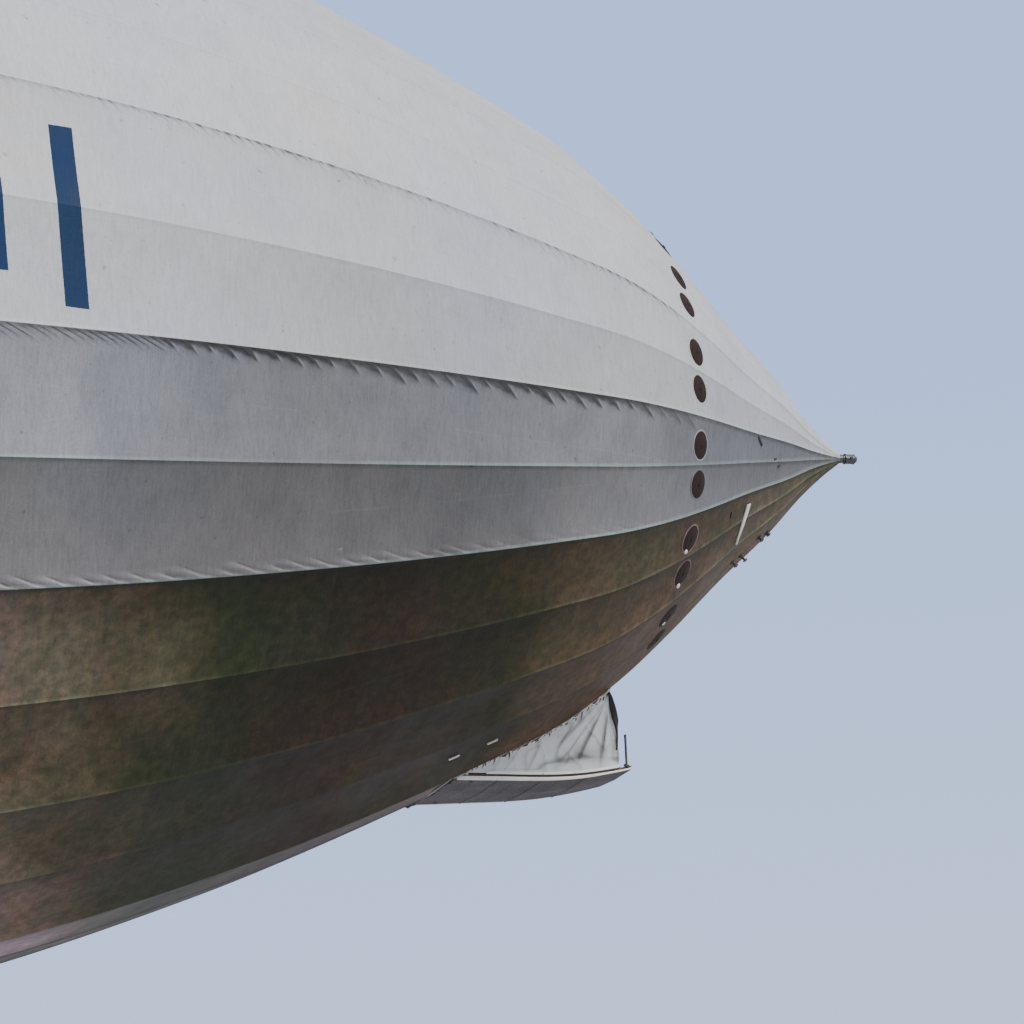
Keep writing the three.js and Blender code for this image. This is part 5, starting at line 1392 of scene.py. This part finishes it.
def engine_cars():
    shell = car_shell_mesh()
    screw_name = {}
    for name, st, ang in CARS:
        far = float(hull_r_cad(st + 1)) * M * REEF + .280
        c = np.array([X(st), far * math.cos(math.radians(ang)), far * math.sin(math.radians(ang))])
        mesh = shell.copy()
        mesh.transform(Matrix.Translation(Vector(c)))
        obj = bpy.data.objects.new(name + "_car_shell", mesh)
        bpy.context.scene.collection.objects.link(obj)
        mesh.materials.clear()
        mesh.materials.append(MAT_ALU)
        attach(obj, "hull")
        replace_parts(obj, name + "_engine_car")

        trim, dark, wires = Parts(), Parts(), Parts()
        # plate joints
        n = 40
        ang_r = np.arange(n + 1) * 2 * math.pi / n
        for x in (-2.6, -1.8, -1.1, -.1, .7, 1.7, 2.5, 3.1):
            w, h = float(along_table(np.array(x), CAR_X, CAR_W)) * M, float(along_table(np.array(x), CAR_X, CAR_H)) * M
            pts = [c + [x * M, (w + .0004) * math.cos(a), (h + .0004) * math.sin(a)] for a in ang_r[:-1]]
            ring = []
            for a, p in zip(ang_r[:-1], pts):
                d = np.array([0, math.cos(a), math.sin(a)])
                ring.append([p - [.0011, 0, 0] - d * .001, p - [.0011, 0, 0] + d * .0008, p + [.0011, 0, 0] + d * .0008, p + [.0011, 0, 0] - d * .001])
            trim.add(np.array(ring).reshape(-1, 3), [list(f) for f in grid_faces(n, 4, loop_u=True, loop_v=True)])
        # window frames
        for x0, x1 in ((.9, 1.45), (-.9, -.35)):
            for side in (1, -1):
                xm, zm = (x0 + x1) / 2, .5
                w = float(along_table(np.array(xm), CAR_X, CAR_W)) * M
                h = float(along_table(np.array(xm), CAR_X, CAR_H)) * M
                lo_y, hi_y = (w * math.sqrt(max(1 - (z * M / h) ** 2, .1)) for z in (.25, .75))
                for z, yy in ((.245, lo_y), (.755, hi_y)):
                    trim.slab(c + [xm * M, side * (yy + .0006), z * M], ((x1 - x0) * M + .006, .003, .0035))
                for x in (x0, x1):
                    a, b = c + [x * M, side * (lo_y + .0006), .0245], c + [x * M, side * (hi_y + .0006), .0755]
                    trim.rod(a, b, .0017, 8)
                dark_y = (lo_y + hi_y) / 2 - .006
        # cooling louvres low on both sides
        for side in (1, -1):
            for k in range(9):
                x, z = -.2 + k * .17, -.45
                w = float(along_table(np.array(x), CAR_X, CAR_W)) * M
                h = float(along_table(np.array(x), CAR_X, CAR_H)) * M
                yy = w * math.sqrt(1 - (z * M / h) ** 2)
                trim.slab(c + [x * M, side * (yy + .0008), z * M], (.0060, .0042, .036), bevel=.0018)
        # radiator core in the mouth
        for k in range(13):
            z = -.028 + k * .0047
            dark.slab(c + [.326, 0, z], (.010, 2 * .026, .0014))
        for k in range(11):
            y = -.025 + k * .005
            dark.slab(c + [.328, y, 0], (.008, .0012, .060))
        trim.ring(c + [.345, 0, 0], (1, 0, 0), [(.0285, -.004), (.0315, -.004), (.0320, .0015), (.0300, .0030), (.0285, .0015)], 40)
        # exhaust stubs, with a bend aft
        for side in (1, -1):
            for x in (-.55, .15):
                w = float(along_table(np.array(x), CAR_X, CAR_W)) * M
                p0 = c + [x * M, side * (w - .006), .008]
                pts = [p0, p0 + [0, side * .010, .001], p0 + [-.004, side * .017, .003], p0 + [-.014, side * .021, .006], p0 + [-.034, side * .022, .009]]
                dark.path(pts, .0052, 12)
        # a step below and a hand rail
        dark.slab(c + [.10, 0, -.1365], (.09, .022, .003))
        for side in (1, -1):
            w = 1.08 * M
            pts = [c + [-.07, side * (w - .004), -.012], c + [-.065, side * (w + .007), -.010], c + [.07, side * (w + .007), -.006], c + [.075, side * (w - .002), -.008]]
            trim.path(pts, .0014, 8)
        # sockets and plates where the four legs enter the cover
        inward = -np.array([math.cos(math.radians(ang)), math.sin(math.radians(ang))])
        reach = M / math.hypot(inward[0] / 1.06, inward[1] / 1.30)
        for dx in (1.6, -1.6):
            for da in (-6.5, 6.5):
                far_r = (float(hull_r_cad(st - dx)) - .5) * M
                a = math.radians(ang + da)
                s0 = np.array([X(st) + dx * M, c[1] + inward[0] * reach, c[2] + inward[1] * reach])
                s1 = np.array([X(st) + dx * M * 1.35, far_r * math.cos(a), far_r * math.sin(a)])
                for t in np.linspace(1, 0, 160):
                    q = s0 + (s1 - s0) * t
                    p, nrm = cover_point(NOSE - q[0] / M, math.degrees(math.atan2(q[2], q[1])) % 360)
                    if math.hypot(q[1], q[2]) >= math.hypot(p[1], p[2]):
                        break
                u = (s1 - s0) / np.linalg.norm(s1 - s0)
                trim.rod(q - u * .020, q + u * .016, .0088, 14, r1=.0105)
                trim.spin(q + nrm * .0004, nrm, [(.0210, -.006), (.0225, .0002), (.0190, .0018), (.0110, .0028)], 22)
        # stays from the car to the hull, and the ladder down to it
        out = np.array([0, math.cos(math.radians(ang)), math.sin(math.radians(ang))])
        for dx, da in ((3.1, 3.5), (3.1, -3.5), (-2.6, 4.5), (-2.6, -4.5)):
            sgn = 1 if da > 0 else -1
            tang = np.array([0, -math.sin(math.radians(ang)), math.cos(math.radians(ang))]) * sgn
            s1 = st - dx * 1.9
            r1 = float(hull_r(s1)) * M * .985
            a1 = math.radians(ang + da)
            base = c + [dx * M, 0, 0] + (tang * .6 - out * .5) * (.060 if abs(dx) > 3 else .045)
            wires.path(np.linspace(base, [X(s1), r1 * math.cos(a1), r1 * math.sin(a1)], 4), .0012, 6)
        top = c - out * .100 + [.055, 0, 0]
        reach = np.linalg.norm(c[1:]) - .100 - float(hull_r(st - .55)) * M * .985
        tang = np.array([0, -math.sin(math.radians(ang)), math.cos(math.radians(ang))])
        for sgn in (1, -1):
            wires.rod(top + tang * sgn * .010 + out * .01, top + tang * sgn * .010 - out * (reach + .004), .0014, 8)
        for k in range(int(reach / .014)):
            p = top - out * (k + .5) * .014
            wires.rod(p - tang * .010, p + tang * .010, .0010, 6)
        trim.build(name + "_car_trim", MAT_ALU, slot="car_aluminium")
        dark.build(name + "_radiator_and_exhausts", MAT_DARK)
        wires.build(name + "_stays_and_ladder", MAT_STRUT, sharp=0, slot="strut_steel")

        screw = screw_mesh()
        hub = c + [-.378, 0, 0]
        p = Parts()
        p.add(np.concatenate(screw.v) + hub, screw.f)
        blades = p.build(name + "_screw", MAT_SCREW, body=name + "_airscrew", slot="airscrew_wood", sharp=50)
        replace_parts(blades, name + "_airscrew")
        brass = Parts()
        brass.ring(hub + [-.0145, 0, 0], (1, 0, 0), [(.0100, -.0010), (.0203, -.0010), (.0207, .0022), (.0207, .0060), (.0100, .0060)], 32)
        for k in range(8):
            a = math.radians(45 * k + 22.5)
            brass.spin(hub + [.0142, .0125 * math.cos(a), .0125 * math.sin(a)], (1, 0, 0), [(.0017, -.001), (.0017, .0032), (.0010, .0040)], 8)
        brass.build(name + "_screw_boss", MAT_STEEL, body=name + "_airscrew")


# ------------------------------------------------------------------ control car
def control_car():
    trim = Parts()
    cx = X(92)
    plan = [(3.3, .28), (3.0, .75), (2.2, 1.12), (1.2, 1.2), (-1.6, 1.2), (-2.8, .75), (-3.4, .2)]

    def wall(u):
        """A point of half the plan at share u of its corners."""
        k = min(int(u), len(plan) - 2)
        t = u - k
        return np.array([plan[k][0] * (1 - t) + plan[k + 1][0] * t, plan[k][1] * (1 - t) + plan[k + 1][1] * t])
    # belts round the car: over and under the windows, and at the floor's edge
    for z, grow, r in ((-21.16, 1.0, .0017), (-20.18, 1.0, .0017), (-19.6, 1.0, .0012), (-22.1, .885, .0014)):
        pts = [[cx + x * grow * M, y * grow * M, z * M] for x, y in plan] + [[cx + x * grow * M, -y * grow * M, z * M] for x, y in plan[::-1]]
        pts.append(pts[0])
        for a, b in zip(pts[:-1], pts[1:]):
            trim.rod(a, b, r, 8)
    # mullions at the plan's corners
    for k, (x, y) in enumerate(plan):
        for side in (1, -1):
            trim.rod([cx + x * M, side * y * M, -1.918], [cx + x * M, side * y * M, -2.118], .0015, 8)
    # frames of the side panes
    for side in (1, -1):
        for px in (1.7, .75, -.2, -1.15):
            wy = .1186 if px > 1.4 else .1208
            for dx in (-.4, .4):
                trim.rod([cx + (px + dx) * M, side * wy, -2.030], [cx + (px + dx) * M, side * wy, -2.105], .0013, 8)
            for z in (-2.030, -2.105):
                trim.rod([cx + (px - .4) * M, side * wy, z], [cx + (px + .4) * M, side * wy, z], .0013, 8)
            trim.rod([cx + px * M, side * wy, -2.030], [cx + px * M, side * wy, -2.105], .0008, 6)
        # door outline aft, as its two upright edges
        x0, x1, z0, z1, y = cx - .230, cx - .175, -2.165, -1.975, .1205
        a = np.array([[-2.3, 0], [-1.75, 0]])
        for x in (x0, x1):
            t = (cx - x) / M
            yy = (1.2 if t < 1.6 else 1.2 - (t - 1.6) / 1.2 * .45) * M + .0006
            trim.rod([x, side * yy, z0], [x, side * yy, z1], .0010, 6)
        # hand rail below the windows
        pts = [[cx + .17, side * .1190, -2.150], [cx + .165, side * .128, -2.150], [cx - .14, side * .128, -2.150], [cx - .145, side * .1195, -2.150]]
        trim.path(pts, .0012, 8)
    # bumper and its pads under the floor
    pad = Parts()
    pad.spin((cx, 0, -2.2375), (0, 0, -1), [(.052, -.006), (.056, 0), (.056, .010), (.048, .017), (.030, .020), (.010, .021)], 40)
    for dx in (-.11, .11):
        pad.spin((cx + dx, 0, -2.2360), (0, 0, -1), [(.020, -.004), (.024, 0), (.022, .010), (.012, .014)], 28)
    trim.build("control_car_frames", MAT_CONTROL, slot="control_car_metal")
    pad.build("control_car_bumper", MAT_CANVAS)
    # fairing where the car meets the hull
    fair = Parts()
    for side in (1, -1):
        pts = []
        for u in np.linspace(0, 6, 37):
            x, y = wall(u)
            st = 92 - x
            yy = (y * M + .0022)
            # the hull's flat sides just there
            a = 270 + (1 if side > 0 else -1) * math.degrees(math.asin(min(yy / (float(hull_r(st)) * M), 1)))
            p, n = cover_point(st, a)
            pts.append([cx + x * M, side * yy, p[2] + .0004])
        fair.path(pts, .0060, 10)
    fair.build("control_car_fairing", MAT_CONTROL, slot="control_car_metal")


# ------------------------------------------------------------------ windows of the passenger decks
def promenade():
    frames, panes = Parts(), Parts()
    for side in (1, -1):
        for row, (ang, n) in enumerate(((233.0, 12), (243.5, 8))):
            for k in range(n):
                st = 88.6 + k * 1.55 + (row * 3.1)
                if 91.0 < st < 93.0 and row:
                    continue
                p, nn, f, d = frame_at(st, ang if side < 0 else 540 - ang, 0.0)
                w, h = .082, .062
                panes.slab(p + nn * .0006, (w, h, .0022), (f, d, nn))
                for s in (1, -1):
                    frames.slab(p + nn * .0022 + d * s * h / 2, (w + .007, .0045, .0046), (f, d, nn))
                    frames.slab(p + nn * .0022 + f * s * w / 2, (.0045, h + .007, .0046), (f, d, nn))
                frames.slab(p + nn * .0022, (.0026, h, .0036), (f, d, nn))
    frames.build("deck_window_frames", MAT_CONTROL, slot="control_car_metal")
    # dark panes: glass with the shade of the rooms behind painted into it
    m = Mat("dark_pane", Roughness=0.08, IOR=1.5)
    n = m.noise(4, 3, 0.5)
    panes.build("deck_window_panes", m.set(Base_Color=m.ramp(n, [(0.35, (0.035, 0.045, 0.052)), (0.65, (0.075, 0.09, 0.10))]), Normal=m.bump(n, 0.05, 0.001)), slot="car_glass")


# ------------------------------------------------------------------ tail
TAIL = [("upper_fin", "upper_rudder", 0), ("port_fin", "port_elevator", -90), ("lower_fin", "lower_rudder", 180), ("starboard_fin", "starboard_elevator", 90)]
FLAP_X = 212.3


def turned(v, degrees):
    a = math.radians(degrees)
    c, s = math.cos(a), math.sin(a)
    out = v.copy()
    out[..., 1] = v[..., 1] * c - v[..., 2] * s
    out[..., 2] = v[..., 1] * s + v[..., 2] * c
    return out


def rib_sag(x, pitch, depth):
    """Cloth between ribs: 0 on a rib, -depth half way."""
    f = x / pitch - np.floor(x / pitch)
    return -depth * np.sin(np.pi * f) ** 0.8


def cloth_panel(name, outline, nodes, body, turn, pitch_x, pitch_h):
    """outline: function (u, v) -> station, height in m, half thickness in m; u along the ship, v outwards."""
    nu, nv = 73, 49
    u, v = np.meshgrid(np.linspace(0, 1, nu), np.linspace(0, 1, nv), indexing="ij")
    st, h, t = outline(u, v)
    round_u = np.clip(np.minimum(u, 1 - u) * 60, 0, 1)
    round_v = np.clip((1 - v) * 60, 0, 1)
    edge = np.sqrt(np.clip(1 - (1 - np.minimum(round_u, round_v)) ** 2, 0.02, 1))
    sag = (rib_sag(st, pitch_x, .055) + rib_sag(h, pitch_h, .020)) * edge
    sag += noise(st * .8, h * .8, turn, 41) * .012 * edge
    sheets = []
    for side in (1, -1):
        y = side * np.maximum(t * edge + sag * np.minimum(t / .15, 1), t * .35)
        sheets.append(np.stack([X(st), y * M, h * M], -1))
    rows = np.concatenate([sheets[0], sheets[1][:, ::-1]], axis=1)
    n2 = rows.shape[1]
    faces = [list(f) for f in grid_faces(nu, n2, loop_v=True)]
    for k in range(nv - 1):
        faces.append([k, k + 1, n2 - 2 - k, n2 - 1 - k])
        e = (nu - 1) * n2
        faces.append([e + k + 1, e + k, e + n2 - 1 - k, e + n2 - 2 - k])
    obj = new_object(name, turned(rows, turn).reshape(-1, 3), faces, MAT_FIN, body, True)
    bm = bmesh.new()
    bm.from_mesh(obj.data)
    bmesh.ops.recalc_face_normals(bm, faces=bm.faces)
    bm.to_mesh(obj.data)
    bm.free()
    sharpen(obj, 50)
    rib = np.exp(-(np.minimum((st / pitch_x) % 1, 1 - (st / pitch_x) % 1) * pitch_x / .05) ** 2) * .30
    rib = np.maximum(rib, np.exp(-(np.minimum((h / pitch_h) % 1, 1 - (h / pitch_h) % 1) * pitch_h / .05) ** 2) * .22)
    both = np.concatenate([rib, rib[:, ::-1]], axis=1).ravel().astype(np.float32)
    obj.data.attributes.new("crease", "FLOAT", "POINT").data.foreach_set("value", both)
    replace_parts(obj, *nodes)
    return obj


def tail():
    for fin, flap, turn in TAIL:
        def fin_shape(u, v):
            st = 187.3 + (211.95 - 187.3) * u
            top = np.interp(st, [177, 205.5, 209.5, 211.95], [8.0, 14.3, 15.3, 15.4])
            root = hull_r(st) * REEF - .10
            root = np.minimum(root, top - .02)
            h = root + (top - root) * v
            s = (st - 177) / 34.95
            t_root, t_tip = .10 + .18 * np.clip(s, 0, 1), .10 + .04 * np.clip(s, 0, 1)
            return st, h, t_root + (t_tip - t_root) * np.clip((h - 2) / 13.4, 0, 1)

        cloth_panel(fin + "_cover", fin_shape, [fin], "hull", turn, 2.05, 2.4)

        def flap_shape(u, v):
            tip = np.interp(v, [0, .875, 1], [5.2, 5.2, 3.9])
            st = FLAP_X + tip * u
            root = float(hull_r(FLAP_X)) + .22 + (st - FLAP_X) * (float(hull_r(FLAP_X + 5.2)) - float(hull_r(FLAP_X))) / 5.2
            h = root + (15.4 - root) * v
            t = (.28 + (.14 - .28) * v) * (1 - u) + .04 * u
            return st, h, t

        obj = cloth_panel(flap + "_cover", flap_shape, [], flap, turn, 1.3, 1.75)
        # the rounded nose on the hinge line, hinge brackets and horns
        nose, metal, fixed = Parts(), Parts(), Parts()
        hs = np.linspace(float(hull_r(FLAP_X)) + .24, 15.38, 24)
        rings = []
        for h in hs:
            t = .28 + (.14 - .28) * (h - hs[0]) / (hs[-1] - hs[0])
            a = np.radians(np.linspace(-90, 90, 13))
            rings.append(np.concatenate([np.stack([X(FLAP_X) + t * M * np.cos(a), t * M * np.sin(a), np.full(13, h * M)], 1),
                                         [[X(FLAP_X) - .006, t * M * .98, h * M], [X(FLAP_X) - .006, -t * M * .98, h * M]]]))
        v = np.array(rings)
        n = v.shape[1]
        nose.add(turned(v, turn).reshape(-1, 3), [list(f) for f in grid_faces(len(hs), n, loop_v=True)] + [list(range(n))[::-1], [(len(hs) - 1) * n + i for i in range(n)]])
        nb = nose.build(flap + "_nose", MAT_FIN, flap, slot="doped_cover", sharp=40)
        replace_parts(nb, flap)
        for h in np.linspace(hs[0] + .8, 14.6, 5):
            t = .28 + (.14 - .28) * (h - hs[0]) / (hs[-1] - hs[0])
            for side in (1, -1):
                p = np.array([[X(FLAP_X) + .004, side * (t + .015) * M, h * M], [X(FLAP_X + .9), side * (t + .005) * M, h * M]])
                beam(metal, turned(p, turn), turned(np.array([[0., 0., 1.]]), turn)[0], turned(np.array([[0., 1., 0.]]), turn)[0], .010, .0026)
        hm = float(hs[0]) + 1.6
        for side in (1, -1):
            p = turned(np.array([[X(FLAP_X + .25), side * .026, hm * M], [X(FLAP_X + .25), side * .075, hm * M]]), turn)
            metal.rod(p[0], p[1], .0045, 10, .0022)
            q = turned(np.array([[X(FLAP_X + .25), side * .073, hm * M], [X(FLAP_X + 2.6), side * .020, hm * M]]), turn)
            metal.path(np.linspace(q[0], q[1], 3), .0009, 6)
        metal.build(flap + "_fittings", MAT_STRUT, flap, sharp=30, slot="strut_steel")
        # stays from each fin to the hull, on both of its sides
        for s0, h0 in ((203.0, 11.6), (209.0, 12.6)):
            for side in (1, -1):
                a = turned(np.array([[X(s0), side * .012, h0 * M]]), turn)[0]
                ang = 90 + turn + side * -38
                p, nn = cover_point(s0 - 1.0, ang)
                fixed.path(np.linspace(a, p, 4), .0011, 6)
        fixed.build(fin + "_stays", MAT_STRUT, sharp=0, slot="strut_steel")


vents()
gathered("gathers_under_flank_main", 186, True, 5.95, 25.6, "laced")
gathered("gathers_over_low_flank_main", 210, False, 7.0, 25.6, "petals")
gathered("gathers_under_shoulder_main", 162, True, 6.05, 25.6, "dotted")
bow_fittings()
screens()
doorway()
gangway()
engine_cars()
control_car()
promenade()
tail()

# finishes of the nodes that are shown as they are
FINISH = {"mooring_spindle": MAT_SPINDLE, "gangway_hinge_rod": MAT_DARK, "gangway_deck": MAT_DECK,
          "control_car": MAT_CONTROL, "control_car_glass": MAT_GLASS}
for car in CARS:
    FINISH[car[0] + "_engine"] = MAT_IRON
    FINISH[car[0] + "_car_struts"] = MAT_STRUT
for key, value in FINISH.items():
    NODES[key].data.materials.clear()
    NODES[key].data.materials.append(value)
    bevel = NODES[key].modifiers.new("edges", "BEVEL")
    bevel.width, bevel.segments, bevel.limit_method = 0.0006, 2, "ANGLE"
    bevel.angle_limit = math.radians(40)


# ------------------------------------------------------------------ stage, camera, light
def stage():
    bpy.ops.mesh.primitive_circle_add(vertices=96, radius=400, fill_type="NGON", location=(0, 0, -3.52))
    floor = bpy.context.object
    floor.name = "studio_floor"
    m = Mat("pale_floor", Roughness=0.85)
    base = m.ramp(m.noise(0.25, 4, 0.6), [(0.3, (0.50, 0.51, 0.53)), (0.7, (0.56, 0.57, 0.59))])
    floor.data.materials.append(m.set(Base_Color=base))

    world = bpy.data.worlds.new("studio")
    bpy.context.scene.world = world
    world.use_nodes = True
    nt = world.node_tree
    nt.nodes.clear()
    out = nt.nodes.new("ShaderNodeOutputWorld")
    direction = node(nt, "ShaderNodeTexCoord").outputs["Generated"]
    z = node(nt, "ShaderNodeSeparateXYZ", {0: direction}).outputs[2]

    def sky(low, mid, top, strength):
        ramp = node(nt, "ShaderNodeValToRGB", {"Fac": z})
        e = ramp.color_ramp.elements
        e[0].position, e[0].color = 0.0, (*low, 1)
        e[1].position, e[1].color = 1.0, (*top, 1)
        x = e.new(0.26)
        x.color = (*mid, 1)
        return node(nt, "ShaderNodeBackground", {0: ramp.outputs[0], 1: strength}).outputs[0]

    light = sky((0.46, 0.47, 0.50), (0.50, 0.53, 0.60), (0.80, 0.86, 0.98), 0.80)
    seen = sky((0.72, 0.78, 0.92), (0.415, 0.605, 1.02), (0.44, 0.64, 1.06), 1.36)
    camera_ray = node(nt, "ShaderNodeLightPath").outputs["Is Camera Ray"]
    both = node(nt, "ShaderNodeMixShader", {0: camera_ray, 1: light, 2: seen})
    nt.links.new(both.outputs[0], out.inputs[0])

    key = bpy.data.lights.new("key", "SUN")
    key.energy = 3.1
    key.angle = math.radians(28)
    key.color = (1.0, 0.985, 0.96)
    lamp = bpy.data.objects.new("key", key)
    bpy.context.scene.collection.objects.link(lamp)
    lamp.rotation_mode = "QUATERNION"
    lamp.rotation_quaternion = Vector((0.34, -0.62, 0.72)).to_track_quat("Z", "Y")


def camera():
    yaw, pitch, roll = (math.radians(v) for v in (-20.09, 13.43, -2.61))
    fwd = Vector((-math.sin(yaw) * math.cos(pitch), math.cos(yaw) * math.cos(pitch), math.sin(pitch)))
    right = Vector((math.cos(yaw), math.sin(yaw), 0))
    up = right.cross(fwd)
    r2 = right * math.cos(roll) + up * math.sin(roll)
    u2 = -right * math.sin(roll) + up * math.cos(roll)
    cam = bpy.data.cameras.new("camera")
    cam.lens, cam.sensor_width, cam.sensor_fit = 5747 * 36 / 1024, 36, "HORIZONTAL"
    cam.clip_start, cam.clip_end = 0.1, 2000
    obj = bpy.data.objects.new("camera", cam)
    bpy.context.scene.collection.objects.link(obj)
    obj.matrix_world = Matrix(((r2.x, u2.x, -fwd.x, 5.06), (r2.y, u2.y, -fwd.y, -12.56), (r2.z, u2.z, -fwd.z, -3.36), (0, 0, 0, 1)))
    bpy.context.scene.camera = obj


stage()
camera()
